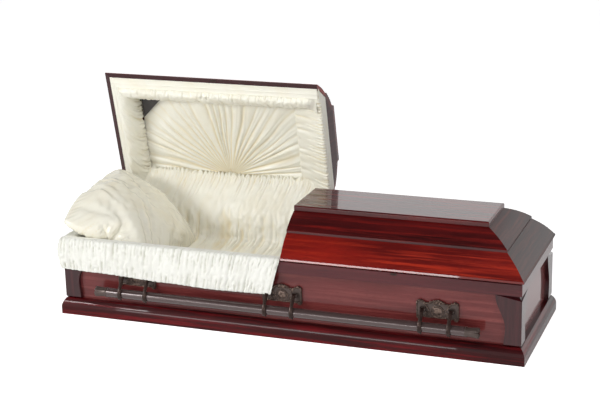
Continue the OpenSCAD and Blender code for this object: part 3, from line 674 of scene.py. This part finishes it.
def roll_point(u, v):
    width, rise = along_curve(ROLL, v)
    x, y, along, side = lid_corner(u, 0.050 + width * 0.064, 0.071 + width * 0.076)
    inner = tucks(along, 1 - v, 0.017, 71.0, longest=0.75, lean=0.3)
    outer = tucks(along, v, 0.015, 83.0, longest=0.6, lean=0.3)
    lift = 1 - max(inner, outer) + 0.35 * wander(along * 75, v * 7, 4.0)
    lively = 1.1 + 0.6 * wander(along * 7.0, v * 3.0, 11.0)
    rise -= 0.0135 * lively * (lift - 0.55) * math.sin(math.pi * min(1.0, v * 1.02 + 0.02)) ** 0.5
    push = 0.010 * lively * (lift - 0.55) * smooth(0.45, 0.9, v)
    closed = smooth(0.0, 0.030, u)
    rise = 0.012 + (rise - 0.012) * closed
    x -= side[0] * push
    y -= side[1] * push
    return OPEN @ Vector((x, y, RIM_Z + rise)), 0.9 * max(0.0, 1 - lift) * (0.4 + 0.6 * v)

roll_trim = cloth_grid("lid_ruched_roll", 620, 34, (2.3, 0.14), roll_point, satin, flip=True)
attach(roll_trim, "head_lid")
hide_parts("head_lid_surround")
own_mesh(roll_trim)

# %% [markdown]
# At the split the lid has no rim. The satin returns from the panel to the edge of the header,
# where a second roll and a flat band finish it. Folds cross it from side to side.

# %% Return at the split
RETURN = [(-0.152, 0.092), (-0.148, 0.076), (-0.118, 0.066), (-0.085, 0.054), (-0.046, 0.034),
          (-0.010, 0.020), (0.0000, 0.030), (-0.0006, 0.036), (0.0004, 0.038), (-0.0006, 0.040),
          (-0.0006, 0.060), (0.0004, 0.062), (-0.0006, 0.064), (-0.0006, 0.086)]

def return_point(u, v):
    x, rise = along_curve(RETURN, v)
    y = -0.304 + 0.589 * u
    limit = 0.014 + max(0.0, LID_Y - abs(y) - 0.034) * 1.05
    if rise > 0.020 and v > 0.3:
        rise = 0.020 + (rise - 0.020) * (min(limit, 0.086) - 0.020) / 0.066
    elif v <= 0.3:
        y *= 1 - 0.28 * (1 - smooth(0.0, 0.3, v))
    low = 1 - smooth(0.04, 0.10, LID_Y - abs(y) - 0.03)
    rise -= 0.014 * low * smooth(0.0, 0.3, v) * (1 - smooth(0.5, 0.9, v))
    soft = 1 - smooth(0.42, 0.52, v)
    across = tucks(y + 0.4, v * 2.2, 0.040, 17.0, longest=1.1, lean=0.4)
    edge = tucks(y + 0.4, 1 - v * 2.4, 0.015, 19.0, longest=0.8) * smooth(0.1, 0.25, v)
    lift = 1 - max(0.7 * across, edge)
    rise -= 0.014 * soft * (lift - 0.6)
    x += 0.005 * soft * (lift - 0.6) * smooth(0.15, 0.35, v)
    return OPEN @ Vector((min(x, 0.0003), y, RIM_Z + rise)), soft * (1 - lift) * 0.9

split_return = cloth_grid("lid_split_return", 360, 56, (0.6, 0.2), return_point, satin)
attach(split_return, "head_lid")

# %% [markdown]
# ## Sunburst panel
# A sunburst is one piece of satin, pulled into pleats at a single point and spread out to the
# panel's edges. A pleat's height is a function of its angle round that point. Near the point the
# pleats crowd, so they get lower; far from it they widen and soften.

# %% Sunburst
focus = Vector((-0.515, 0.215))
PANEL_Z = 0.4400

def sunburst_point(u, v):
    x = PANEL[0] - 0.006 + (PANEL[1] - PANEL[0] + 0.012) * u
    y = PANEL[2] - 0.006 + (PANEL[3] - PANEL[2] + 0.030) * v
    away = Vector((x, y)) - focus
    reach = away.length
    angle = math.atan2(-away.y, away.x)
    turns = angle / math.pi * 27 + 0.9 * wander(angle * 3.1, 4.0) + 0.35 * wander(
        angle * 4.0, reach * 5.0, 8.0)
    pleat = abs(math.sin(math.pi * turns))
    second = abs(math.sin(math.pi * (turns * 2.0 + 0.3 + wander(angle * 9.0, reach * 4.0))))
    strength = 0.75 + 0.8 * wander(angle * 5.0, reach * 4.0, 2.0)
    size = min(0.0013 + reach * 0.038, 0.0105) * (1 - 0.45 * smooth(0.28, 0.50, reach))
    near = smooth(0.0, 0.05, reach)
    lift = pleat * strength + 0.25 * second
    tag_side = smooth(0.13, 0.20, (Vector((x, y)) - Vector((PANEL[0], PANEL[2]))).length)
    z = PANEL_Z - size * near * lift * (0.15 + 0.85 * tag_side) + 0.008 * (1 - tag_side)
    z += 0.004 * (1 - near)
    depth = (1 - pleat) * (1 - 0.5 * smooth(0.15, 0.45, reach))
    # Painted shade: more crease colour near the focus, where the pleats crowd.
    depth += 0.5 * (1 - smooth(0.0, 0.22, reach))
    return OPEN @ Vector((x, y, z)), min(1.0, depth)

sunburst = cloth_grid("lid_sunburst_panel", 330, 145, (0.86, 0.40), sunburst_point, satin,
                      flip=True)
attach(sunburst, "head_lid")
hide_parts("head_lid_panel")
print("sunburst cloth", round(area_of(sunburst), 3), "m2")

# %% [markdown]
# ## Drape over the hinges
# One sheet hides the hinges and the back wall. It starts as a ruffle at the lid panel's lower
# edge, hangs over the hinge line and falls in folds to the bed. Its top is held by the lid and
# the rest lies in the box.

# %% Drape
DRAPE = [(0.387, 0.484), (0.388, 0.498), (0.378, 0.503), (0.366, 0.492), (0.355, 0.470),
         (0.341, 0.442), (0.325, 0.410), (0.308, 0.380), (0.293, 0.350), (0.282, 0.315),
         (0.275, 0.278), (0.268, 0.245), (0.256, 0.218), (0.228, 0.205), (0.180, 0.200),
         (0.120, 0.197)]

def drape_point(u, v):
    y, z = along_curve(DRAPE, v)
    left = -0.955 - 0.045 * smooth(0.2, 0.6, v)
    right_edge = -0.030 + 0.012 * smooth(0.1, 0.5, v)
    along = (right_edge - left) * u
    x = left + along
    ruffle = fold_height(along, v, 0.021, 40.0, drift=1.1, run=5.0)
    fine = tucks(along, abs(v - 0.14) * 1.3, 0.0135, 44.0, longest=0.6, lean=0.35)
    broad = tucks(along, abs(0.85 - v), 0.055, 47.0, longest=0.75, lean=0.3)
    small = tucks(along, abs(0.85 - v), 0.024, 57.0, longest=0.5, lean=0.5)
    top = 1 - smooth(0.10, 0.22, v)
    low = smooth(0.35, 0.70, v)
    lift = 1 - max(fine * (1 - 0.3 * low), broad * low, 0.6 * small * low)
    size = 0.0075 * (1 - low) + 0.0180 * low
    size *= 0.85 + 0.5 * wander(along * 4.0, v * 3.0, 6.0)
    size *= 1 - 0.5 * smooth(0.93, 1.0, v)
    lift = top * (0.25 + 0.9 * ruffle) + (1 - top) * (lift + 0.35 * wander(along * 55, v * 16))
    ahead_y, ahead_z = along_curve(DRAPE, min(1.0, v + 0.01))
    back_y, back_z = along_curve(DRAPE, max(0.0, v - 0.01))
    slope = Vector((ahead_y - back_y, ahead_z - back_z)).normalized()
    y += slope.y * size * (lift - 0.3)
    z += -slope.x * size * (lift - 0.3)
    z += 0.012 * top * wander(along * 22.0, 3.0) + 0.014 * top * (ruffle - 0.5)
    sag = 0.010 * math.sin(math.pi * u) * smooth(0.0, 0.1, v) * (1 - smooth(0.2, 0.4, v))
    depth = 0.85 * (1 - max(0.0, min(1.0, lift)))
    return Vector((x + 0.002 * wander(along * 50, v * 9), y, z - sag)), depth

drape = cloth_grid("hinge_drape", 450, 104, (1.5, 0.36), drape_point, satin)
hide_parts("lining_back")
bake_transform(drape)
print("drape cloth", round(area_of(drape), 3), "m2")

# %% [markdown]
# ## Pillow
# The pillow is two squares of satin sewn edge to edge and filled, leaning on the head end. It
# puckers at the seam because the filled bag is shorter than its seam is long. A cloth simulation
# with air pressure gives exactly those puckers, so a flat bag is inflated, and only then leaned.

# %% Flat bag
HALF_LONG, HALF_WIDE, BAG_RISE = 0.262, 0.300, 0.045

def flat_bag():
    bm = bmesh.new()
    bmesh.ops.create_grid(bm, x_segments=84, y_segments=92, size=1.0)
    for vert in bm.verts:
        a, b = vert.co.x, vert.co.y
        pinch = 1 - 0.13 * (a * a) * (b * b)
        vert.co = Vector((a * HALF_LONG * pinch, b * HALF_WIDE * pinch, 0))
        dome = max(0.0, (1 - a ** 4) * (1 - b ** 4)) ** 0.5
        vert.co.z = BAG_RISE * dome
    top = bm.faces[:]
    copy = bmesh.ops.duplicate(bm, geom=bm.verts[:] + bm.edges[:] + top)
    for vert in (g for g in copy["geom"] if isinstance(g, bmesh.types.BMVert)):
        vert.co.z = -vert.co.z
    under = [g for g in copy["geom"] if isinstance(g, bmesh.types.BMFace)]
    bmesh.ops.reverse_faces(bm, faces=under)
    bmesh.ops.remove_doubles(bm, verts=bm.verts, dist=0.0002)
    bmesh.ops.recalc_face_normals(bm, faces=bm.faces)
    mesh = bpy.data.meshes.new("pillow_cushion")
    bm.to_mesh(mesh)
    bm.free()
    return mesh

pillow = add_object("pillow_cushion", flat_bag())
print("flat bag:", len(pillow.data.vertices), "points")

# %% Fill it
def inflate(obj, pressure, frames, shrink):
    cloth = obj.modifiers.new("fill", "CLOTH")
    cloth.settings.quality = 6
    cloth.settings.mass = 0.25
    cloth.settings.tension_stiffness = 22
    cloth.settings.compression_stiffness = 8
    cloth.settings.shear_stiffness = 4
    cloth.settings.bending_stiffness = 0.25
    cloth.settings.use_pressure = True
    cloth.settings.uniform_pressure_force = pressure
    cloth.settings.shrink_min = shrink
    cloth.settings.effector_weights.gravity = 0
    cloth.collision_settings.use_collision = False
    cloth.point_cache.frame_start, cloth.point_cache.frame_end = 1, frames
    scene = bpy.context.scene
    for frame_number in range(1, frames + 1):
        scene.frame_set(frame_number)
    settled = obj.evaluated_get(bpy.context.evaluated_depsgraph_get()).to_mesh()
    moved = [v.co.copy() for v in settled.vertices]
    obj.evaluated_get(bpy.context.evaluated_depsgraph_get()).to_mesh_clear()
    obj.modifiers.remove(cloth)
    scene.frame_set(1)
    for vert, place in zip(obj.data.vertices, moved):
        vert.co = place

inflate(pillow, 4.0, 22, -0.03)
print("pillow filled:", [round(v, 3) for v in pillow.dimensions])

# %% [markdown]
# The filled bag is now bent a little, folded at its lower left corner by its own weight, and
# leaned back. Long folds run across its face towards the lower seam, and short puckers cross the
# seam all round.

# %% Lean it
base = Vector((-0.824, -0.020, 0.368))
lengthwise = Vector((-0.753, 0, 0.658))
outward = Vector((0.658, 0, 0.753))
corner_sag = Vector((-0.020, -0.012, -0.045))
reach_x = max(v.co.x for v in pillow.data.vertices)
reach_y = max(v.co.y for v in pillow.data.vertices)
reach_z = max(v.co.z for v in pillow.data.vertices)
LEANED_LONG, LEANED_WIDE, LEANED_THICK, BED_Z = 0.258, 0.272, 0.090, 0.1915
bm = bmesh.new()
bm.from_mesh(pillow.data)
fold = bm.verts.layers.float.new("fold")
flat_pattern(bm)
for vert in bm.verts:
    a, b, c = vert.co.x / reach_x, vert.co.y / reach_y, vert.co.z / reach_z
    lift = depth = 0.0
    if c > 0.02:
        spread = math.atan2(b + 1.25, a + 1.35)
        reach = math.hypot(b + 1.25, a + 1.35) / 2.9
        body = (1 - abs(a) ** 4) * (1 - abs(b) ** 4)
        crease = tucks(spread, reach, 0.17, 5.0, longest=1.2, lean=0.4)
        second = tucks(spread + 0.1 * a, 1 - reach, 0.13, 12.0, longest=0.6, lean=0.5)
        crease = max(crease, 0.9 * second)
        crease = min(1.0, max(0.0, crease + 0.25 * wander(a * 9, b * 9, 2.0)))
        lift = 0.030 * body * (0.6 - crease)
        depth = body * crease * 0.55
    rim = max(abs(a), abs(b))
    angle = math.atan2(b, a)
    pucker = tucks(angle * 0.3, 1 - rim, 0.017, 23.0, longest=0.45)
    edge_band = smooth(0.45, 0.93, rim) * (1 - smooth(0.985, 1.0, rim))
    lift += 0.013 * edge_band * (0.5 - pucker)
    depth = max(depth, 0.7 * edge_band * pucker)
    thick = vert.co.z * (LEANED_THICK / reach_z) + (lift if c >= 0 else -lift)
    along = a * LEANED_LONG
    wide = b * LEANED_WIDE
    sag = -0.02 * (a * a) - 0.012 * (1 - b * b)
    vert[fold] = depth
    vert.co = (base + lengthwise * along + outward * (thick + sag * 0.5)
               + Vector((0, wide - 0.012 * a, 0.0))
               + corner_sag * smooth(0.1, 1.0, a) * smooth(0.1, 1.0, -b)
               + Vector((0, 0, -0.052)) * smooth(0.3, 1.0, -b) * smooth(-0.6, 0.3, a))
    vert.co.z = max(vert.co.z, BED_Z + 0.002 * (a + b))
bmesh.ops.recalc_face_normals(bm, faces=bm.faces)
bm.to_mesh(pillow.data)
bm.free()
pillow.data.shade_smooth()
pillow.data.materials.append(shiny_satin)
finish = pillow.modifiers.new("finish", "SUBSURF")
finish.levels = finish.render_levels = 1
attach(pillow, "box")
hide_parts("pillow")
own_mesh(pillow)
print("pillow:", [round(v, 3) for v in pillow.dimensions])

# %% [markdown]
# ## Walls, bed and foot lid
# Below the skirt's flap the box is lined with the same gathered satin, a mattress lies on the
# bottom, and the shut lid has a plain panel inside. They are mostly out of sight, so their folds
# are broad and few.

# %% Wall linings
def wall_lining(name, first, second, inward, top, bottom, replaced):
    first, second, inward = Vector(first), Vector(second), Vector(inward)
    length = (second - first).length

    def point(u, v):
        along = u * length
        deep = max(tucks(along, v, 0.021, length, longest=0.8),
                   tucks(along, 1 - v, 0.034, length + 4, longest=0.7))
        plump = math.sin(math.pi * v) ** 0.6
        where = first + (second - first) * u + inward * (0.006 + plump * (0.010 - 0.006 * deep))
        return Vector((where.x, where.y, top + (bottom - top) * v)), 0.8 * deep

    sheet = cloth_grid(name, int(length / 0.006), 26, (length * 1.2, top - bottom), point, satin)
    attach(sheet, "box")
    if replaced:
        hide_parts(replaced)

WALL_X, WALL_Y, END_Y, DRAPE_END_X = 1.0055, 0.2905, 0.266, -0.02
WALL_TOP, BACK_TOP, WALL_FOOT = 0.3305, 0.342, 0.1905
wall_lining("front_wall_lining", (-WALL_X, -WALL_Y, 0), (WALL_X, -WALL_Y, 0), (0, 1, 0), WALL_TOP,
            WALL_FOOT, "lining_front")
wall_lining("head_wall_lining", (-WALL_X, END_Y, 0), (-WALL_X, -END_Y, 0), (1, 0, 0), WALL_TOP,
            WALL_FOOT, "lining_ends")
wall_lining("foot_wall_lining", (WALL_X, -END_Y, 0), (WALL_X, END_Y, 0), (-1, 0, 0), WALL_TOP,
            WALL_FOOT, None)
wall_lining("back_wall_lining", (WALL_X, WALL_Y, 0), (DRAPE_END_X, WALL_Y, 0), (0, -1, 0), BACK_TOP,
            WALL_FOOT, None)

# %% [markdown]
# The mattress is a padded box with rounded edges. Its top is drawn down along a diamond of
# stitches, which a product of two sines gives without any extra cuts.

# %% Mattress
rest_low, rest_high = (Vector(corner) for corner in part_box("mattress"))
QUILT_PITCH, QUILT_DEPTH = 0.18, 0.006
bm = bmesh.new()
bmesh.ops.create_cube(bm, size=1.0)
bmesh.ops.scale(bm, vec=rest_high - rest_low, verts=bm.verts)
bmesh.ops.bevel(bm, geom=bm.edges[:], offset=0.018, segments=4, profile=0.5, affect="EDGES",
                material=-1)
bmesh.ops.subdivide_edges(bm, edges=[e for e in bm.edges if e.calc_length() > 0.1], cuts=60,
                          use_grid_fill=True)
bmesh.ops.translate(bm, vec=(rest_low + rest_high) / 2, verts=bm.verts)
fold = bm.verts.layers.float.new("fold")
for vert in bm.verts:
    if vert.co.z > rest_high.z - 0.01:
        quilt = abs(math.sin(vert.co.x * math.pi / QUILT_PITCH)
                    * math.sin((vert.co.y + QUILT_PITCH / 2) * math.pi / QUILT_PITCH))
        vert.co.z -= QUILT_DEPTH * (1 - quilt ** 0.4)
        # Painted shade: the stitched dips take the crease colour.
        vert[fold] = (1 - quilt ** 0.4) * 0.6
flat_pattern(bm)
bed = finished("bed_mattress", bm, satin)
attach(bed, "box")
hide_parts("mattress")
print("mattress", [round(v, 3) for v in bed.dimensions])

# %% [markdown]
# The shut lid has a plain panel of the same satin, tacked at its edges and gathered a little at
# the front and back.

# %% Panel inside the shut lid
lining_low, lining_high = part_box("foot_lid_lining")

def foot_panel_point(u, v):
    x = lining_low[0] + (lining_high[0] - lining_low[0]) * u
    y = lining_low[1] + (lining_high[1] - lining_low[1]) * v
    deep = max(tucks(x, v, 0.045, 91.0), tucks(x, 1 - v, 0.045, 95.0))
    edge = min(u, 1 - u, v, 1 - v)
    z = lining_low[2] + 0.004 + 0.008 * deep * smooth(0.0, 0.1, edge) + 0.004 * (
        1 - smooth(0.0, 0.04, edge))
    return Vector((x, y, z)), 0.7 * deep

foot_panel = cloth_grid("foot_lid_panel", 200, 60, (0.9, 0.38), foot_panel_point, satin,
                        flip=True)
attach(foot_panel, "foot_lid")
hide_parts("foot_lid_lining")

# %% [markdown]
# The corner tag is a plain triangle of dark card. The frame already has its shape, so it only
# needs a finish: nearly black, with fine flecks.

# %% Corner tag
card, tree, shader, place = new_material("dark_card")
flecks = noise_node(tree, place, 900.0, 2.0)
tone = blend_colours(tree, flecks, (0.020, 0.017, 0.017, 1), (0.050, 0.044, 0.042, 1))
feed(tree, shader, Base_Color=tone, Roughness=remap(tree, flecks, 0.3, 0.7, 0.45, 0.6))
paint("head_lid_tag", card)
print("tag painted")

# %% [markdown]
# ## Cast ornament on the handles
# Each handle plate is cast with a leafy crest, an oval medallion, a raised edge and small curled
# feet. The plain plate stays as it is, and the ornament is one more mesh laid on its face. Beads
# and leaves are squashed spheres; the rims are thin tubes that follow a curve.

# %% Casting helpers
def squashed_ball(bm, centre, size, turn=0.0):
    """A ball scaled to size, turned by an angle in the plate's own plane."""
    made = bmesh.ops.create_uvsphere(bm, u_segments=12, v_segments=7, radius=1.0)["verts"]
    bmesh.ops.scale(bm, vec=size, verts=made)
    bmesh.ops.rotate(bm, verts=made, cent=(0, 0, 0), matrix=Matrix.Rotation(turn, 3, "Y"))
    bmesh.ops.translate(bm, verts=made, vec=centre)

def bridge_rings(bm, pairs):
    for first, second in pairs:
        edges = {e for v in first + second for e in v.link_edges
                 if e.other_vert(v) in (first if v in first else second)}
        bmesh.ops.bridge_loops(bm, edges=list(edges))

def close_ends(bm, rings):
    for ring in (rings[0], rings[-1]):
        bmesh.ops.contextual_create(bm, geom=ring)

def spiral(count, half_turns, wide, shrink):
    """Offsets in a plane that wind inward from the width wide."""
    for i in range(count):
        part = i / (count - 1)
        turn, swing = part * half_turns * math.pi, wide * (1 - shrink * part)
        yield swing * math.cos(turn), swing * math.sin(turn)

def tube(bm, points, radius, closed=False, sides=8):
    """Rings round a path, bridged in turn."""
    rings = []
    count = len(points)
    for i, point in enumerate(points):
        after = points[(i + 1) % count] if closed or i + 1 < count else point
        before = points[i - 1] if closed or i > 0 else point
        heading = (Vector(after) - Vector(before)).normalized()
        wide = radius[i] if isinstance(radius, (list, tuple)) else radius
        ring = bmesh.ops.create_circle(bm, cap_ends=False, segments=sides, radius=wide)["verts"]
        turn = heading.to_track_quat("Z", "Y").to_matrix()
        bmesh.ops.rotate(bm, verts=ring, cent=(0, 0, 0), matrix=turn)
        bmesh.ops.translate(bm, verts=ring, vec=point)
        rings.append(ring)
    bridge_rings(bm, list(zip(rings, rings[1:])) + ([(rings[-1], rings[0])] if closed else []))
    if not closed:
        close_ends(bm, rings)

def cast_piece(name, bm, body, replaced=(), metal=bronze):
    bmesh.ops.recalc_face_normals(bm, faces=bm.faces)
    piece = finished(name, bm, metal)
    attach(piece, body)
    if replaced:
        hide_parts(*replaced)
    return piece

# %% Plate ornament
PLATES = {"head": -0.684, "middle": 0.0, "foot": 0.684}
FACE_Y, PLATE_LOW, OVAL_Z, LEAVES_Z, CURL_X = -0.3125, 0.161, 0.190, 0.220, 0.081
BASE_REACH = 0.074
CREST = [(-0.088, 0.222), (-0.084, 0.232), (-0.072, 0.236), (-0.060, 0.231), (-0.050, 0.225),
         (-0.038, 0.226), (-0.026, 0.233), (-0.013, 0.238), (0.0, 0.240), (0.013, 0.238),
         (0.026, 0.233), (0.038, 0.226), (0.050, 0.225), (0.060, 0.231), (0.072, 0.236),
         (0.084, 0.232), (0.088, 0.222)]

def ornament(bm):
    crest = [along_curve(CREST, i / 34) for i in range(35)]
    for i, (x, z) in enumerate(crest):
        lean = 0.5 * math.sin(i * 2.4)
        squashed_ball(bm, (x, FACE_Y - 0.0015, z - 0.003 - 0.002 * (i % 2)),
                      (0.0032, 0.0040, 0.0050 + 0.0015 * (i % 3 == 0)), lean)
    for i in range(-3, 4):
        angle = i * 0.42
        leaf = (0.013 * math.sin(angle), FACE_Y - 0.002, LEAVES_Z + 0.010 * math.cos(angle))
        squashed_ball(bm, leaf, (0.0028, 0.0035, 0.0085), angle)
    oval = [(0.027 * math.cos(t), FACE_Y - 0.001, OVAL_Z + 0.023 * math.sin(t))
            for t in (i * math.tau / 40 for i in range(40))]
    tube(bm, oval, 0.0022, closed=True)
    inner = [(0.022 * math.cos(t), FACE_Y - 0.0005, OVAL_Z + 0.018 * math.sin(t))
             for t in (i * math.tau / 36 for i in range(36))]
    tube(bm, inner, 0.0011, closed=True, sides=6)
    squashed_ball(bm, (0, FACE_Y + 0.001, OVAL_Z), (0.020, 0.0018, 0.016))
    for side in (-1, 1):
        scroll = [(side * (0.040 + across), FACE_Y - 0.0008, 0.176 + rise)
                  for across, rise in spiral(30, 3.4, 0.0115, 0.8)]
        tube(bm, scroll, [0.0020 - 0.0010 * i / 29 for i in range(30)], sides=6)
        for i in range(5):
            squashed_ball(bm, (side * (0.036 + 0.004 * i), FACE_Y - 0.001, 0.196 + 0.0055 * i),
                          (0.0022, 0.0030, 0.0060), side * (0.5 + 0.25 * i))
        edge = [(side * 0.0875, FACE_Y - 0.0005, 0.222 - 0.0615 * i / 9) for i in range(10)]
        tube(bm, edge, 0.0019, sides=6)
        curl = [(side * (CURL_X - across), FACE_Y - 0.001, PLATE_LOW - rise)
                for across, rise in spiral(26, 3.0, 0.0085, 0.75)]
        tube(bm, curl, 0.0019, sides=6)
        squashed_ball(bm, (side * CURL_X, FACE_Y - 0.0015, PLATE_LOW), (0.0032, 0.0032, 0.0032))
    base = [(BASE_REACH * (i / 12 * 2 - 1), FACE_Y - 0.0005, 0.1625 + 0.0012 * math.sin(i * 1.6))
            for i in range(13)]
    tube(bm, base, 0.0019, sides=6)
    for i in range(13):
        squashed_ball(bm, (BASE_REACH * (i / 12 * 2 - 1), FACE_Y - 0.001, 0.1675),
                      (0.0034, 0.0024, 0.0022))

def placed(bm, x, back):
    bmesh.ops.translate(bm, verts=bm.verts, vec=(x, 0, 0))
    if back:
        bmesh.ops.scale(bm, verts=bm.verts, vec=(1, -1, 1))
        bmesh.ops.reverse_faces(bm, faces=bm.faces)

for side in ("front", "back"):
    for place_name, plate_x in PLATES.items():
        bm = bmesh.new()
        ornament(bm)
        placed(bm, plate_x, side == "back")
        piece = cast_piece(f"plate_ornament_{side}_{place_name}", bm, "box", metal=rubbed)
print("ornament:", len(piece.data.polygons), "faces each")

# %% [markdown]
# ## Arms and end caps
# An arm is a strap that leaves the plate, swells as it comes down, and laps over the front of
# the bar, where it ends in a small curl. The bar's ends are leaf-shaped caps: a turned profile
# whose radius swells and shrinks round the axis, more and more towards the tip.

# %% Arms
STRAP = [(-0.319, 0.199, 0.0070, 0.0050), (-0.327, 0.199, 0.0076, 0.0060),
         (-0.337, 0.193, 0.0080, 0.0058), (-0.347, 0.181, 0.0080, 0.0050),
         (-0.357, 0.168, 0.0080, 0.0046), (-0.367, 0.154, 0.0084, 0.0042),
         (-0.3732, 0.140, 0.0086, 0.0038), (-0.3745, 0.127, 0.0088, 0.0036),
         (-0.3720, 0.117, 0.0086, 0.0036), (-0.3665, 0.1105, 0.0076, 0.0034)]
ARM_OFFSET, STRAP_STEPS = 0.061, 30
PIN_Y, PIN_Z, PIN_REACH, PIN_R = -0.322, 0.196, 0.0078, 0.0079

def strap(bm, x):
    rings = []
    for i in range(STRAP_STEPS + 1):
        y, z, half_wide, half_thick = along_curve(STRAP, i / STRAP_STEPS)
        y1, z1, _, _ = along_curve(STRAP, min(1.0, (i + 1) / STRAP_STEPS))
        y0, z0, _, _ = along_curve(STRAP, max(0.0, (i - 1) / STRAP_STEPS))
        ring = bmesh.ops.create_circle(bm, cap_ends=False, segments=16, radius=1.0)["verts"]
        for vert in ring:
            square = max(abs(vert.co.x), abs(vert.co.y)) ** -0.45
            vert.co = Vector((vert.co.x * half_wide * square, vert.co.y * half_thick * square, 0))
        tilt = math.atan2(z1 - z0, y1 - y0)
        bmesh.ops.rotate(bm, verts=ring, cent=(0, 0, 0),
                         matrix=Matrix.Rotation(tilt - math.pi / 2, 3, "X"))
        bmesh.ops.translate(bm, verts=ring, vec=(x, y, z))
        rings.append(ring)
    bridge_rings(bm, zip(rings, rings[1:]))
    close_ends(bm, rings)
    pin = [(x - PIN_REACH, PIN_Y, PIN_Z), (x + PIN_REACH, PIN_Y, PIN_Z)]
    tube(bm, pin, PIN_R, sides=20)
    spine = [along_curve(STRAP, 0.2 + 0.7 * i / 16) for i in range(17)]
    rib = [(x, y - half_thick * 0.75 - 0.0006, z + 0.0012) for y, z, _, half_thick in spine]
    tube(bm, rib, 0.0018, sides=6)
    curl = [(x + 0.0065, -0.3700 + out, 0.1110 - rise)
            for out, rise in spiral(16, 2.3, 0.0050, 0.7)]
    tube(bm, curl, 0.0020, sides=6)

for side in ("front", "back"):
    for place_name, plate_x in PLATES.items():
        bm = bmesh.new()
        for offset in (-ARM_OFFSET, ARM_OFFSET):
            strap(bm, offset)
        placed(bm, plate_x, side == "back")
        piece = cast_piece(f"handle_arms_{side}_{place_name}", bm, f"{side}_handle",
                           [f"arms_{side}_{place_name}"])
print("arms:", len(piece.data.polygons), "faces a pair")

# %% End caps
CAP = [(0.0, 0.0), (0.0205, 0.0), (0.0225, 0.0015), (0.0225, 0.0055), (0.0205, 0.007),
       (0.0195, 0.010), (0.0200, 0.018), (0.0205, 0.028), (0.0215, 0.040), (0.0230, 0.050),
       (0.0225, 0.056), (0.0170, 0.0590), (0.0090, 0.0600), (0.0, 0.0600)]

BAR_Y, BAR_Z = -0.350, 0.130
LEAVES = 4

def end_cap(bm, x, direction):
    profile = [bm.verts.new((radius, 0, along)) for radius, along in CAP]
    edges = [bm.edges.new(pair) for pair in zip(profile, profile[1:])]
    bmesh.ops.spin(bm, geom=profile + edges, cent=(0, 0, 0), axis=(0, 0, 1), angle=math.tau,
                   steps=64, use_merge=True)
    bmesh.ops.remove_doubles(bm, verts=bm.verts, dist=0.00001)
    for vert in bm.verts:
        flare = smooth(0.008, 0.050, vert.co.z)
        turn = math.atan2(vert.co.y, vert.co.x)
        leaf = abs(math.cos(LEAVES * turn)) ** 0.6
        vein = abs(math.cos(LEAVES * turn)) ** 12
        scale = 1 + flare * (0.22 * (leaf - 0.80) - 0.10 * vein)
        vert.co.x *= scale
        vert.co.y *= scale
        if vert.co.z > 0.05:
            away = math.hypot(vert.co.x, vert.co.y)
            vert.co.z -= 0.005 * (1 - leaf) * smooth(0.002, 0.015, away)
    turn = Matrix.Rotation(math.radians(90 * direction), 3, "Y")
    bmesh.ops.rotate(bm, verts=bm.verts, cent=(0, 0, 0), matrix=turn)
    bmesh.ops.translate(bm, verts=bm.verts, vec=(x, BAR_Y, BAR_Z))

bar_low, bar_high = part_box("bar_front")
for side in ("front", "back"):
    for end_name, cap_x, direction in (("head", bar_low[0], -1), ("foot", bar_high[0], 1)):
        bm = bmesh.new()
        end_cap(bm, cap_x, direction)
        placed(bm, 0, side == "back")
        piece = cast_piece(f"bar_cap_{side}_{end_name}", bm, f"{side}_handle",
                           [f"tip_{side}_{end_name}"], field)
print("caps:", len(piece.data.polygons), "faces each")
